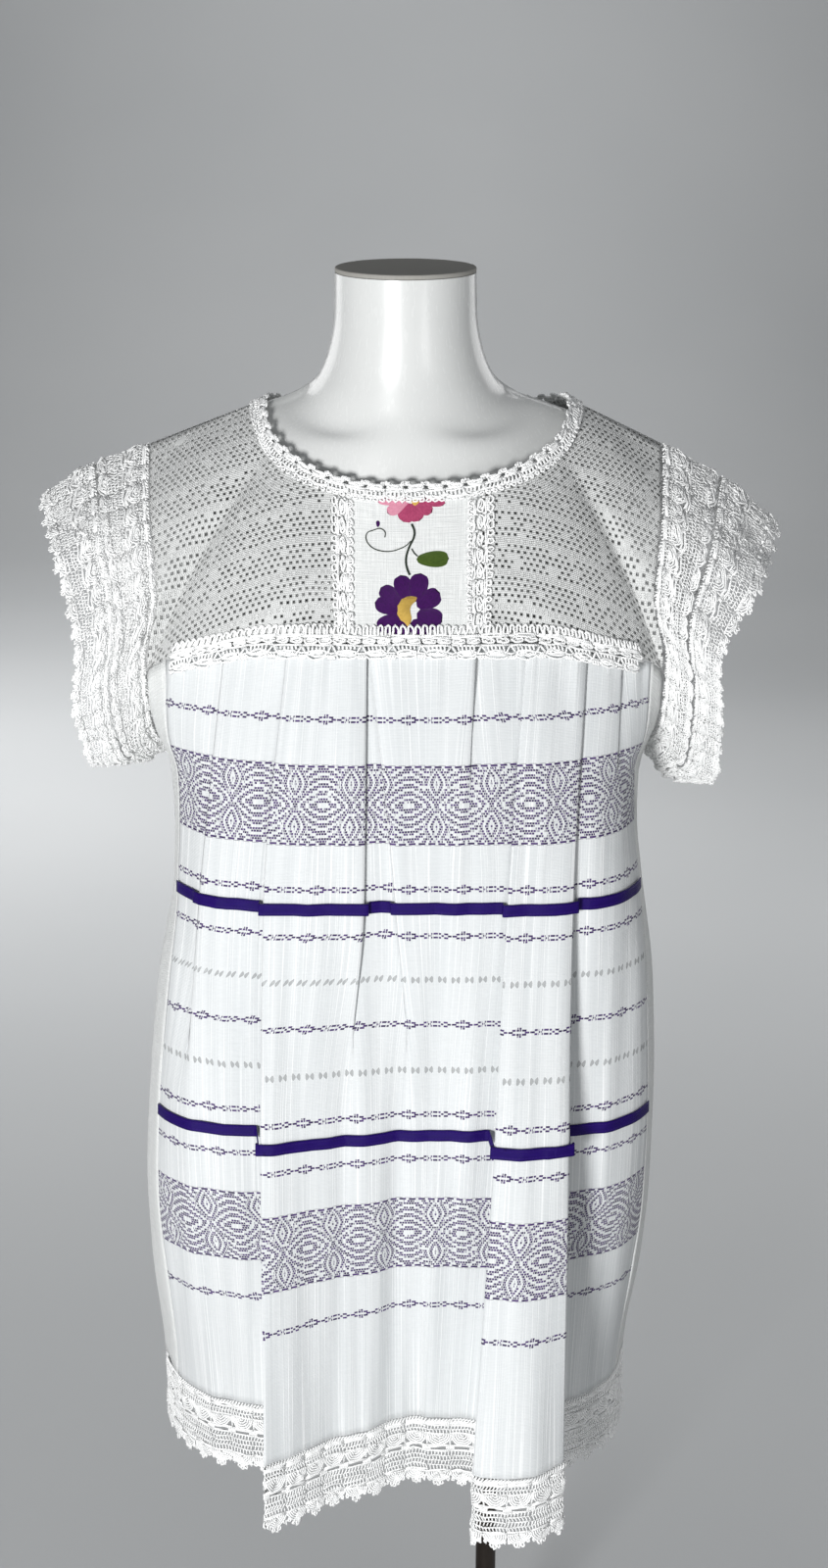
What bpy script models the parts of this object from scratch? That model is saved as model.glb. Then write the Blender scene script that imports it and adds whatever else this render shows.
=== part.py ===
"""Huipil blouse on a limbless dress form.

A tunic-length pleated huipil of striped gauze with crochet lace yoke, sleeves and hem,
worn by a smooth dress form on a pole and a round base. Metres, +Z up, origin on the
floor under the middle of the base, the front of the blouse towards -Y.
"""
import math

import bmesh
import bpy
from mathutils import Vector

COLLECTION = "huipil_blouse_on_dress_form"

# Driving sizes of the stand and the form
BASE_RADIUS = 0.150
BASE_HEIGHT = 0.010
POLE_RADIUS = 0.0088
POLE_X = 0.070
CAP_TOP = 1.280
CAP_HEIGHT = 0.0035
NECK_RADIUS = 0.0537
GAP = 0.0003
SEAM_GAP = 0.0014
SHOULDER_GAP = 0.0005
SIDE_GAP_ANGLE = 0.12

# Driving sizes of the cloth
CLOTH = 0.0014
RIBBON = 0.0010
LACE = 0.0016
TRIM = 0.0014
HEM_Z = 0.382
LACE_DROP = 0.058
PLEAT_STEP = 0.0026
BOX_CROWN = 0.010

# Sections of the body of the blouse: height, reach to the left, right, front and back,
# and how square its front is (2 is an ellipse)
SECTIONS = (
    # z, left, right, front, back, square
    (1.030, 0.226, 0.226, 0.120, 0.105, 2.3),
    (0.985, 0.214, 0.212, 0.127, 0.105, 2.5),
    (0.930, 0.197, 0.195, 0.136, 0.106, 3.0),
    (0.905, 0.185, 0.183, 0.139, 0.107, 3.4),
    (0.860, 0.181, 0.181, 0.143, 0.110, 4.2),
    (0.817, 0.182, 0.185, 0.147, 0.115, 4.6),
    (0.725, 0.198, 0.197, 0.149, 0.123, 4.2),
    (0.633, 0.207, 0.200, 0.157, 0.130, 4.2),
    (0.550, 0.212, 0.199, 0.156, 0.135, 4.0),
    (0.485, 0.211, 0.195, 0.153, 0.140, 3.6),
    (0.382, 0.204, 0.183, 0.150, 0.145, 3.0),
    (0.300, 0.202, 0.181, 0.150, 0.146, 3.0),
)
BACK_SQUARE = 2.5

# The upper edge of the body, by the angle from its side round to its front or back
TOP_EDGE = (
    # angle, z
    (0.0, 0.905),
    (11.6, 0.932),
    (17.6, 0.980),
    (30.0, 1.001),
    (48.0, 1.016),
    (90.0, 1.018),
)
CORNER_ANGLE = 17.6

# Where the side panels are sewn to the front, by height, and to the back
SIDE_SEAMS = (
    # z, left, right
    (0.930, 24.0, 22.0),
    (0.860, 27.0, 24.0),
    (0.817, 28.0, 25.0),
    (0.725, 29.0, 27.0),
    (0.633, 29.0, 28.0),
    (0.485, 29.0, 28.0),
    (0.382, 25.0, 24.0),
)
BACK_SEAM = 12.0
SIDE_COLUMNS = 6

# How far the standing folds have come out, by height
FOLD_GROWTH = (
    # z, share
    (1.018, 0.00),
    (0.900, 0.01),
    (0.817, 0.05),
    (0.725, 0.18),
    (0.633, 0.36),
    (0.550, 0.54),
    (0.485, 0.68),
    (0.382, 1.00),
)
FOLD_HEIGHTS = (1.018, 0.817, 0.633, 0.382)

# Pleats, left to right: which way the fold points (-1 left), where its edge is at the yoke,
# the upper ribbon, the lower ribbon and the hem, how far open it is at those, and how far
# the cloth stands forward at the hem on the fold's left and right
FRONT_FOLDS = (
    # name, points, x at four heights, open at four heights, stands left, stands right
    ("a", -1, (-0.1355, -0.1590, -0.1760, -0.1670), (0.0, 0.0, 0.9, 1.0), 0.000, 0.000),
    ("b", -1, (-0.0880, -0.1080, -0.1115, -0.1110), (0.0, 0.0, 0.0, 0.0), 0.000, 0.086),
    ("c", 1, (-0.0290, -0.0310, -0.0420, -0.0430), (0.0, 0.1, 1.0, 1.0), 0.032, 0.027),
    ("d", -1, (-0.0276, -0.0085, 0.0000, 0.0000), (0.0, 0.1, 1.0, 1.0), 0.006, 0.002),
    ("e", 1, (0.0530, 0.0500, 0.0380, 0.0270), (0.0, 1.0, 1.0, 1.0), 0.004, 0.006),
    ("f", -1, (0.0910, 0.0770, 0.0680, 0.0520), (0.0, 0.0, 0.0, 0.0), 0.016, 0.090),
    ("g", 1, (0.1380, 0.1280, 0.1255, 0.1240), (0.0, 0.0, 0.0, 0.0), 0.088, 0.004),
    ("h", 1, (0.1650, 0.1660, 0.1660, 0.1560), (0.0, 1.0, 1.0, 1.0), 0.000, 0.000),
)
BACK_FOLDS = (
    # name, points, x at four heights, open at four heights, stands left, stands right
    ("a", -1, (-0.1380, -0.1450, -0.1500, -0.1480), (0.0, 0.1, 1.0, 1.0), 0.000, 0.004),
    ("b", -1, (-0.0820, -0.0880, -0.0920, -0.0900), (0.0, 0.0, 0.0, 0.0), 0.004, 0.052),
    ("c", 1, (-0.0200, -0.0230, -0.0260, -0.0260), (0.0, 0.0, 0.0, 0.0), 0.040, 0.004),
    ("d", -1, (0.0200, 0.0230, 0.0260, 0.0270), (0.0, 0.0, 0.0, 0.0), 0.004, 0.038),
    ("e", 1, (0.0820, 0.0880, 0.0900, 0.0860), (0.0, 0.0, 0.0, 0.0), 0.048, 0.004),
    ("f", 1, (0.1380, 0.1440, 0.1480, 0.1420), (0.0, 0.1, 1.0, 1.0), 0.004, 0.000),
)
FOLD_LAP = 0.016
LAP_AT_HEM = 0.011
OPEN_REACH = 0.011
OPEN_RISE = (0.0, 0.26, 0.74, 1.0)
BOX_FOLD = "f"

# Rows of the body, from the upper edge down to the hem, and the woven rows on it
YOKE_ROWS = 2
ROW_HEIGHTS = (0.870, 0.817, 0.725, 0.633, 0.550, 0.465, HEM_Z)
RIBBON_HEIGHT = 0.0095
RIBBONS = (("upper", 0.8170), ("lower", 0.6335))
RIBBON_OUT = 0.0021
RIBBON_OVER = 0.0034
RIBBON_FOOT = 0.0046
RIBBON_RISE = 0.0032
RIBBON_STEPS = (0.0, 0.35, 0.7, 1.0)
STANDING = 0.022
EDGE_SHARES = (0.12, 0.32, 0.62)
SPAN_SHARES = (0.34, 0.67)

# Yoke: neckline, placket and armholes
NECK_LEFT, NECK_RIGHT = 0.1105, 0.1275
NECK_FRONT, NECK_BACK = 0.0885, 0.0800
NECK_SIDE_Z, NECK_FRONT_Z, NECK_BACK_Z = 1.1785, 1.1275, 1.1600
NECK_SQUARE, NECK_BEND = 2.5, 1.25
PLACKET_LEFT, PLACKET_RIGHT = -0.0475, 0.0565
YOKE_SEAM_Z = 1.0
BACK_MIDDLE = 0.0001
YOKE_SHARES = (0.0, 0.1, 0.2, 0.31, 0.42, 0.49, 0.55, 0.61, 0.68, 0.76, 0.84, 0.92, 1.0)
YOKE_DOWNS = (0.0, 0.16, 0.36, 0.58, 0.8, 1.0)
PLACKET_SHARES = (0.0, 0.25, 0.5, 0.75, 1.0)
CORNER_SHARE = 0.55
CORNER_BLEND = 6.0

# How far the yoke swells between its edges, and the round shape it swells from
YOKE_SWELL = 0.011
SWELL_X, SWELL_Y, SWELL_Z = 0.04, 0.01, 0.0225

# Trims: reach either side of the edge they cover, and how far they stand off the cloth
NECK_TRIM_IN, NECK_TRIM_OUT = 0.0045, 0.0125
SEAM_TRIM_UP, SEAM_TRIM_DOWN = 0.0130, 0.0120
SEAM_TRIM_END = 0.43
PLACKET_TRIM_LEFT, PLACKET_TRIM_RIGHT = 0.0085, 0.0105
PLACKET_TRIM_TOP, PLACKET_TRIM_BOTTOM = 9.0, 3.2
PLACKET_TRIM_ROWS = 5
TRIM_GAP = 0.0022
TRIM_OFF = 0.0021
TRIM_OFF_NECK = 0.0024
TRIM_OFF_PLEATS = 0.0027

ARMHOLE_BACK = 0.90
ARMHOLE = (
    # turn, x, y, z for the left side seam, from the shoulder by the front to the underarm
    (0.0, 0.1970, 0.0000, 1.1450),
    (45.0, 0.1930, 0.0550, 1.0950),
    (80.0, 0.1880, 0.0740, 1.0400),
    (110.0, 0.1985, 0.0680, 0.9900),
    (150.0, 0.1970, 0.0400, 0.9300),
    (180.0, 0.1870, 0.0000, 0.9030),
)
CORNER_TURN = 115.0
SLEEVE_SEAM = 0.0013
SLEEVE_SWELL = 0.006
SLEEVE_CENTRE_Z = 1.02
SLEEVE_EDGE_LEFT = (
    # turn, x, y, z of the free edge
    (0.0, 0.2830, 0.0000, 1.1010),
    (45.0, 0.2640, 0.0680, 1.0620),
    (80.0, 0.2480, 0.1000, 1.0050),
    (110.0, 0.2540, 0.0850, 0.9600),
    (150.0, 0.2500, 0.0450, 0.9080),
    (180.0, 0.2250, 0.0000, 0.8860),
)
SLEEVE_EDGE_RIGHT = (
    # turn, x, y, z of the free edge
    (0.0, 0.2900, 0.0000, 1.0800),
    (45.0, 0.2620, 0.0850, 1.0400),
    (80.0, 0.2370, 0.1020, 0.9950),
    (110.0, 0.2420, 0.0850, 0.9580),
    (150.0, 0.2450, 0.0480, 0.8970),
    (180.0, 0.2180, 0.0000, 0.8680),
)

# Lace: one slot, bar and scallop repeat, and the depths of its rows as shares of the width
LACE_REPEAT = 0.019
SLOT_SHARE = 12.5 / 19.0
HEM_LACE_ROWS = (0.0, 0.40, 0.47, 0.87, 1.0)
SLEEVE_OUTER_ROWS = (0.0, 0.36, 0.45, 0.84, 1.0)
SLEEVE_INNER_ROWS = (0.0, 0.36, 0.45, 1.0)
SLEEVE_INNER, SLEEVE_OUTER = (0.0, 0.495), (0.505, 1.0)
SLEEVE_REPEATS = 28
TOOTH_EDGE = 0.22
HEM_GAP_ANGLE = 0.1

# The form: rings from the neck down, each with its reach and height at side, front and back
FORM_RINGS = (
    # side, side z, front, front z, back, back z, square
    (0.0537, 1.2762, 0.0537, 1.2762, 0.0537, 1.2762, 2.0),
    (0.0545, 1.2450, 0.0560, 1.2450, 0.0540, 1.2450, 2.0),
    (0.0600, 1.2150, 0.0590, 1.2050, 0.0560, 1.2200, 2.0),
    (0.0700, 1.1950, 0.0640, 1.1800, 0.0620, 1.2000, 2.1),
    (0.0850, 1.1850, 0.0710, 1.1560, 0.0680, 1.1800, 2.2),
    (0.1120, 1.1762, 0.0780, 1.1250, 0.0720, 1.1500, 2.1),
    (0.1520, 1.1606, 0.0840, 1.0900, 0.0770, 1.1150, 2.05),
    (0.1800, 1.1489, 0.0900, 1.0600, 0.0820, 1.0800, 2.05),
    (0.1830, 1.1200, 0.0950, 1.0300, 0.0860, 1.0500, 2.1),
    (0.1790, 1.0750, 0.1000, 1.0000, 0.0890, 1.0150, 2.3),
    (0.1650, 1.0100, 0.1030, 0.9650, 0.0880, 0.9700, 2.2),
    (0.1450, 0.9200, 0.1000, 0.9100, 0.0860, 0.9100, 2.1),
    (0.1300, 0.8500, 0.0900, 0.8500, 0.0820, 0.8500, 2.1),
    (0.1240, 0.7900, 0.0840, 0.7900, 0.0800, 0.7900, 2.1),
    (0.1380, 0.7150, 0.0950, 0.7150, 0.0930, 0.7150, 2.1),
    (0.1580, 0.6300, 0.1050, 0.6300, 0.1120, 0.6300, 2.1),
    (0.1600, 0.5800, 0.1030, 0.5800, 0.1110, 0.5800, 2.1),
    (0.1500, 0.5200, 0.0950, 0.5200, 0.1000, 0.5200, 2.1),
)
FORM_SIDES = 26
FORM_BEND = 1.3

MATERIALS = {
    # name: colour, roughness, metallic
    "white_form": ((0.86, 0.86, 0.85), 0.22, 0.0),
    "grey_cap": ((0.24, 0.22, 0.20), 0.45, 0.0),
    "dark_steel": ((0.03, 0.025, 0.02), 0.35, 0.9),
    "gauze": ((0.88, 0.88, 0.87), 0.85, 0.0),
    "crochet": ((0.90, 0.90, 0.89), 0.90, 0.0),
    "plain_cloth": ((0.86, 0.86, 0.84), 0.85, 0.0),
    "satin_ribbon": ((0.045, 0.012, 0.22), 0.35, 0.0),
}


def clear_scene():
    for item in list(bpy.data.objects):
        bpy.data.objects.remove(item, do_unlink=True)


def make_material(name):
    colour, roughness, metallic = MATERIALS[name]
    material = bpy.data.materials.new(name)
    material.use_nodes = True
    shader = material.node_tree.nodes["Principled BSDF"]
    shader.inputs["Base Color"].default_value = (*colour, 1.0)
    shader.inputs["Roughness"].default_value = roughness
    shader.inputs["Metallic"].default_value = metallic
    return material


def column(table, index):
    return [row[index] for row in table]


def smooth_value(places, values, place):
    """A smooth curve through a table's values that never overshoots them."""
    if places[0] > places[-1]:
        places = places[::-1]
        values = values[::-1]
    if place <= places[0]:
        return values[0]
    if place >= places[-1]:
        return values[-1]
    last = len(places) - 1
    spans = [places[i + 1] - places[i] for i in range(last)]
    slopes = [(values[i + 1] - values[i]) / spans[i] for i in range(last)]
    tangents = [slopes[0]]
    for i in range(1, last):
        if slopes[i - 1] * slopes[i] <= 0.0:
            tangents.append(0.0)
        else:
            tangents.append(2.0 * slopes[i - 1] * slopes[i] / (slopes[i - 1] + slopes[i]))
    tangents.append(slopes[-1])
    i = max(k for k in range(last) if places[k] <= place)
    t = (place - places[i]) / spans[i]
    rise = values[i + 1] - values[i]
    ease = t * t * (3.0 - 2.0 * t)
    lean = spans[i] * (tangents[i] * t * (1.0 - t) ** 2 - tangents[i + 1] * t * t * (1.0 - t))
    return values[i] + rise * ease + lean


def mix(a, b, share):
    return a + (b - a) * share


# Body of the blouse

def section(z):
    """Left, right, front and back reach and squareness of the body at a height."""
    heights = column(SECTIONS, 0)
    return [smooth_value(heights, column(SECTIONS, k), z) for k in range(1, 6)]


def body_point(angle, z, out=0.0):
    """The body's own surface at an angle: 180 is the left side, 270 the middle of the front."""
    left, right, front, back, square = section(z)
    c = math.cos(math.radians(angle))
    s = math.sin(math.radians(angle))
    side = right if c > 0.0 else left
    depth = front if s < 0.0 else back
    power = square if s < 0.0 else BACK_SQUARE
    reach = (abs(c / side) ** power + abs(s / depth) ** power) ** (-1.0 / power)
    x, y = reach * c, reach * s
    nx = math.copysign(abs(x / side) ** (power - 1.0) / side, x)
    ny = math.copysign(abs(y / depth) ** (power - 1.0) / depth, y)
    size = math.hypot(nx, ny)
    return Vector((x + nx / size * out, y + ny / size * out, z))


def angle_at_x(x, z, facing):
    """The angle of the point with this x on the front (-1) or the back (1)."""
    left, right, front, back, square = section(z)
    side = right if x > 0.0 else left
    depth = front if facing < 0 else back
    power = square if facing < 0 else BACK_SQUARE
    share = min(abs(x) / side, 0.999)
    y = facing * depth * (1.0 - share ** power) ** (1.0 / power)
    return math.degrees(math.atan2(y, x)) % 360.0


def from_side(angle):
    """How far an angle is from the nearer side of the body, 0 to 90."""
    turned = angle % 180.0
    return min(turned, 180.0 - turned)


def top_height(angle):
    return smooth_value(column(TOP_EDGE, 0), column(TOP_EDGE, 1), from_side(angle))


def row_height(row, top):
    """Height of a body row: the first ones share out the stretch under the upper edge."""
    if row < YOKE_ROWS:
        return mix(top, ROW_HEIGHTS[0], row / YOKE_ROWS)
    return ROW_HEIGHTS[row - YOKE_ROWS]


def side_seam(z, facing, right):
    """Angle of a side seam, counted from the side of the body."""
    if facing > 0:
        return BACK_SEAM
    return smooth_value(column(SIDE_SEAMS, 0), column(SIDE_SEAMS, 2 if right else 1), z)


def seam_angle(z, facing, right):
    share = side_seam(z, facing, right)
    if facing < 0:
        return 360.0 - share if right else 180.0 + share
    return share if right else 180.0 - share


def fold_state(fold, z):
    """Edge, openness and stands of one fold at a height."""
    name, points, places, opens, left, right = fold
    growth = smooth_value(column(FOLD_GROWTH, 0), column(FOLD_GROWTH, 1), z)
    x = smooth_value(FOLD_HEIGHTS, places, z)
    opened = smooth_value(FOLD_HEIGHTS, opens, z)
    return points, x, opened, left * growth, right * growth


def fold_corners(fold, z):
    """Four points along the cloth through a fold: x, depth under the surface, and stand."""
    points, x, opened, left, right = fold_state(fold, z)
    lap = smooth_value(FOLD_HEIGHTS, (FOLD_LAP, FOLD_LAP, FOLD_LAP, LAP_AT_HEM), z)
    high, low = (right, left) if points < 0 else (left, right)
    behind = 2.0 * PLEAT_STEP * (1.0 - opened)
    step = PLEAT_STEP * (1.0 - opened)
    closed = (
        (x - points * lap, behind, low),
        (x - points * lap, behind - step, low),
        (x, step, high),
        (x, 0.0, high),
    )
    corners = []
    for k, (place, depth, stand) in enumerate(closed):
        along = (k / 1.5 - 1.0) * OPEN_REACH
        spread = x - points * along
        rise = mix(low, high, OPEN_RISE[k])
        corners.append((mix(place, spread, opened), depth, mix(stand, rise, opened)))
    return corners if points < 0 else corners[::-1]


def shaped_point(x, depth, stand, z, facing):
    """A point of the pleated cloth: back from the body's surface, then forward by its stand."""
    point = body_point(angle_at_x(x, z, facing), z, -depth)
    point.y += facing * stand
    return point


def cloth_line(z, folds, facing):
    """The pleated cloth along one height, from the left side seam to the right one."""
    line = []
    before = body_point(seam_angle(z, facing, False), z)
    after = body_point(seam_angle(z, facing, True), z)
    groups = [fold_corners(fold, z) for fold in folds]
    start = seam_angle(z, facing, False)
    first = angle_at_x(groups[0][0][0], z, facing)
    line.append(before)
    for share in EDGE_SHARES:
        line.append(body_point(mix(start, first, share), z, -groups[0][0][1] * share))
    for k, group in enumerate(groups):
        for corner in group:
            line.append(shaped_point(*corner, z, facing))
        if k + 1 < len(groups):
            line.extend(span_points(group[-1], groups[k + 1][0], folds[k], z, facing))
    stop = seam_angle(z, facing, True)
    final = angle_at_x(groups[-1][-1][0], z, facing)
    for share in EDGE_SHARES[::-1]:
        line.append(body_point(mix(stop, final, share), z, -groups[-1][-1][1] * share))
    line.append(after)
    return line


def box_crown(fold, z, facing):
    """How far the middle of the standing box bulges beyond its edges."""
    growth = smooth_value(column(FOLD_GROWTH, 0), column(FOLD_GROWTH, 1), z)
    return BOX_CROWN * growth if fold[0] == BOX_FOLD and facing < 0 else 0.0


def span_points(start, stop, fold, z, facing):
    """Two points between a fold and the next one, with a crown on the standing box."""
    points = []
    for share in SPAN_SHARES:
        x, depth, stand = (mix(start[k], stop[k], share) for k in range(3))
        crown = box_crown(fold, z, facing)
        points.append(shaped_point(x, depth, stand + crown, z, facing))
    return points


def pleated_grid(folds, facing):
    """Rows of the pleated panel, each column with its own upper edge."""
    upper = cloth_line(YOKE_SEAM_Z, folds, facing)
    tops = []
    for k, point in enumerate(upper):
        angle = math.degrees(math.atan2(point.y, point.x))
        if k == 0 or k == len(upper) - 1:
            angle = seam_angle(SIDE_SEAMS[0][0], facing, k > 0)
        tops.append(top_height(angle))
    rows = []
    for row in range(YOKE_ROWS + len(ROW_HEIGHTS)):
        points = []
        for k in range(len(upper)):
            z = row_height(row, tops[k])
            points.append(cloth_line(z, folds, facing)[k])
        rows.append(points)
    return rows


def side_grid(right):
    """Rows of one plain side panel, from its front seam round to its back seam."""
    rows = []
    for row in range(YOKE_ROWS + len(ROW_HEIGHTS)):
        points = []
        for k in range(SIDE_COLUMNS + 1):
            share = k / SIDE_COLUMNS
            top_from = mix(side_seam(SIDE_SEAMS[0][0], -1, right), -BACK_SEAM, share)
            z = row_height(row, top_height(top_from))
            front = side_seam(z, -1, right) - SIDE_GAP_ANGLE
            angle = mix(front, SIDE_GAP_ANGLE - BACK_SEAM, share)
            points.append(body_point(360.0 - angle if right else 180.0 + angle, z))
        rows.append(points if right else points[::-1])
    return rows


# Yoke and neckline

def neck_point(angle):
    c = math.cos(math.radians(angle))
    s = math.sin(math.radians(angle))
    side = NECK_RIGHT if c > 0.0 else NECK_LEFT
    depth = NECK_FRONT if s < 0.0 else NECK_BACK
    middle_z = NECK_FRONT_Z if s < 0.0 else NECK_BACK_Z
    power = NECK_SQUARE
    reach = (abs(c / side) ** power + abs(s / depth) ** power) ** (-1.0 / power)
    x, y = reach * c, reach * s
    forward = abs(y) / depth
    return Vector((x, y, mix(NECK_SIDE_Z, middle_z, forward ** NECK_BEND)))


def neck_angle_at_x(x, facing):
    side = NECK_RIGHT if x > 0.0 else NECK_LEFT
    depth = NECK_FRONT if facing < 0 else NECK_BACK
    y = facing * depth * (1.0 - (abs(x) / side) ** NECK_SQUARE) ** (1.0 / NECK_SQUARE)
    return math.degrees(math.atan2(y, x)) % 360.0


def ring_point(table, turn, right):
    """A point round an armhole or a sleeve's free edge: 0 is the shoulder, 90 the front."""
    turn = turn % 360.0
    back = turn > 180.0
    near = 360.0 - turn if back else turn
    turns = column(table, 0)
    x, y, z = (smooth_value(turns, column(table, k), near) for k in (1, 2, 3))
    return Vector((x if right else -x, y * ARMHOLE_BACK if back else -y, z))


def yoke_outer(share, right, facing, start_x):
    """The yoke's outer edge: along the seam to the corner, then up the armhole."""
    if share <= CORNER_SHARE:
        corner = 360.0 - CORNER_ANGLE if right else 180.0 + CORNER_ANGLE
        if facing > 0:
            corner = 360.0 - corner
        begin = angle_at_x(start_x, YOKE_SEAM_Z, facing)
        if right and facing < 0:
            begin = begin if begin > 180.0 else begin + 360.0
        angle = mix(begin, corner, share / CORNER_SHARE)
        return body_point(angle, top_height(angle) + SEAM_GAP)
    up = (share - CORNER_SHARE) / (1.0 - CORNER_SHARE)
    turn = mix(CORNER_TURN, 0.0, up)
    blend = max(0.0, 1.0 - up * CORNER_BLEND)
    point = ring_point(ARMHOLE, turn if facing < 0 else 360.0 - turn, right)
    corner = yoke_outer(CORNER_SHARE, right, facing, start_x)
    return point.lerp(corner, blend)


def yoke_point(share, down, right, facing, start_x, out=0.0):
    """The yoke between the neckline (down 0) and its outer edge (down 1)."""
    begin = neck_angle_at_x(start_x, facing)
    side = 360.0 if right else 180.0
    if facing > 0:
        side = 0.0 if right else 180.0
    inner = neck_point(mix(begin, side, share))
    outer = yoke_outer(share, right, facing, start_x)
    point = inner.lerp(outer, down)
    middle = (inner + outer) * 0.5
    rise = middle.z - YOKE_SEAM_Z
    swell = Vector((middle.x / SWELL_X, middle.y / SWELL_Y, rise / SWELL_Z)).normalized()
    amount = YOKE_SWELL * math.sin(math.pi * min(max(down, 0.0), 1.0))
    amount *= math.sin(math.pi * share) if 0.0 < share < 1.0 else 0.0
    point = point + swell * amount
    if share >= 1.0:
        point.y = facing * SHOULDER_GAP
    if out:
        point = point + yoke_normal(share, down, right, facing, start_x) * out
    return point


def yoke_normal(share, down, right, facing, start_x):
    """Which way is out of the yoke, from its slopes either way."""
    step = 0.02
    low, high = max(share - step, 0.0), min(share + step, 0.999)
    top, bottom = min(max(down - step, 0.0), 0.9), min(max(down + step, 0.1), 1.0)
    across = (yoke_point(high, down, right, facing, start_x)
              - yoke_point(low, down, right, facing, start_x))
    along = (yoke_point(share, bottom, right, facing, start_x)
             - yoke_point(share, top, right, facing, start_x))
    normal = across.cross(along).normalized()
    centre = Vector((0.0, 0.0, 0.95))
    outward = yoke_point(share, down, right, facing, start_x) - centre
    return normal if normal.dot(outward) > 0.0 else -normal


def placket_point(share, down, out=0.0):
    x = mix(PLACKET_LEFT, PLACKET_RIGHT, share)
    inner = neck_point(neck_angle_at_x(x, -1))
    angle = angle_at_x(x, YOKE_SEAM_Z, -1)
    outer = body_point(angle, top_height(angle) + SEAM_GAP)
    point = inner.lerp(outer, down)
    slope = Vector((0.0, -(inner.z - outer.z), outer.y - inner.y)).normalized()
    return point + (slope if slope.y < 0.0 else -slope) * out


def front_yoke_grid(right):
    start_x = PLACKET_RIGHT + GAP if right else PLACKET_LEFT - GAP
    return [[yoke_point(share, down, right, -1, start_x) for share in YOKE_SHARES]
            for down in YOKE_DOWNS]


def back_yoke_grid():
    rows = []
    for down in YOKE_DOWNS:
        left = [yoke_point(share, down, False, 1, -BACK_MIDDLE) for share in YOKE_SHARES[::-1]]
        right = [yoke_point(share, down, True, 1, BACK_MIDDLE) for share in YOKE_SHARES[1:]]
        left[-1].x = 0.0
        rows.append(left + right)
    return rows


def placket_grid():
    return [[placket_point(share, down) for share in PLACKET_SHARES] for down in YOKE_DOWNS]


# Trims, each made from the points of what it lies on, moved out

def ribs_front():
    """Ribs across the front from the left armhole to the right one, as point functions."""
    ribs = []
    for share in YOKE_SHARES[::-1]:
        ribs.append((lambda down, out, s=share: yoke_point(s, down, False, -1,
                                                           PLACKET_LEFT - GAP, out), share))
    for share in PLACKET_SHARES[1:-1]:
        ribs.append((lambda down, out, s=share: placket_point(s, down, out), 0.0))
    for share in YOKE_SHARES:
        ribs.append((lambda down, out, s=share: yoke_point(s, down, True, -1,
                                                           PLACKET_RIGHT + GAP, out), share))
    return ribs


def ribs_back():
    """Ribs across the back from the right armhole to the left one."""
    ribs = []
    for share in YOKE_SHARES[::-1]:
        ribs.append((lambda down, out, s=share: yoke_point(s, down, True, 1,
                                                           BACK_MIDDLE, out), share))
    for share in YOKE_SHARES[1:]:
        ribs.append((lambda down, out, s=share: yoke_point(s, down, False, 1,
                                                           -BACK_MIDDLE, out), share))
    return ribs


def neck_trim_grid():
    ribs = ribs_front()[:-1] + ribs_back()[:-1]
    rows = [[], [], []]
    for rib, share in ribs:
        length = (rib(1.0, 0.0) - rib(0.0, 0.0)).length
        for row, reach in enumerate((-NECK_TRIM_IN, NECK_TRIM_OUT / 2.0, NECK_TRIM_OUT)):
            rows[row].append(rib(reach / length, TRIM_OFF_NECK))
    return rows


def seam_trim_grid(facing):
    """The trim over the yoke's seam: its upper part on the yoke, the lower on the pleats."""
    across = ribs_front() if facing < 0 else ribs_back()[::-1]
    ribs = [item for item in across if item[1] < SEAM_TRIM_END]
    rows = [[], [], []]
    for rib, share in ribs:
        length = (rib(1.0, 0.0) - rib(0.0, 0.0)).length
        edge = rib(1.0, 0.0)
        angle = math.degrees(math.atan2(edge.y, edge.x))
        rows[0].append(rib(1.0 - SEAM_TRIM_UP / length, TRIM_OFF))
        rows[1].append(body_point(angle, edge.z, TRIM_OFF_PLEATS))
        rows[2].append(body_point(angle, edge.z - SEAM_TRIM_DOWN, TRIM_OFF_PLEATS))
    return rows


def placket_trim_grid(right):
    """A vertical trim over one edge of the placket, between the neck and seam trims."""
    edge = PLACKET_RIGHT if right else PLACKET_LEFT
    start_x = edge + GAP if right else edge - GAP
    width = PLACKET_RIGHT - PLACKET_LEFT
    half = PLACKET_TRIM_RIGHT if right else PLACKET_TRIM_LEFT
    inner_share = 1.0 - half / width if right else half / width
    top = neck_point(neck_angle_at_x(edge, -1))
    angle = angle_at_x(edge, YOKE_SEAM_Z, -1)
    length = (top - body_point(angle, top_height(angle))).length
    begin = (NECK_TRIM_OUT + TRIM_GAP) / length
    end = 1.0 - (SEAM_TRIM_UP + TRIM_GAP) / length
    rows = []
    for step in range(PLACKET_TRIM_ROWS + 1):
        down = mix(begin, end, step / PLACKET_TRIM_ROWS)
        outer_share = mix(PLACKET_TRIM_TOP, PLACKET_TRIM_BOTTOM, down) * half
        rows.append([
            placket_point(inner_share, down, TRIM_OFF_NECK),
            yoke_point(0.0, down, right, -1, start_x, TRIM_OFF_NECK),
            yoke_point(outer_share, down, right, -1, start_x, TRIM_OFF_NECK),
        ])
    return rows


# Ribbons on the body

def cloth_at(start, stop, x):
    """Depth and stand of the cloth at x, between two corners of neighbouring folds."""
    share = (x - start[0]) / (stop[0] - start[0])
    return x, mix(start[1], stop[1], share), mix(start[2], stop[2], share)


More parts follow.
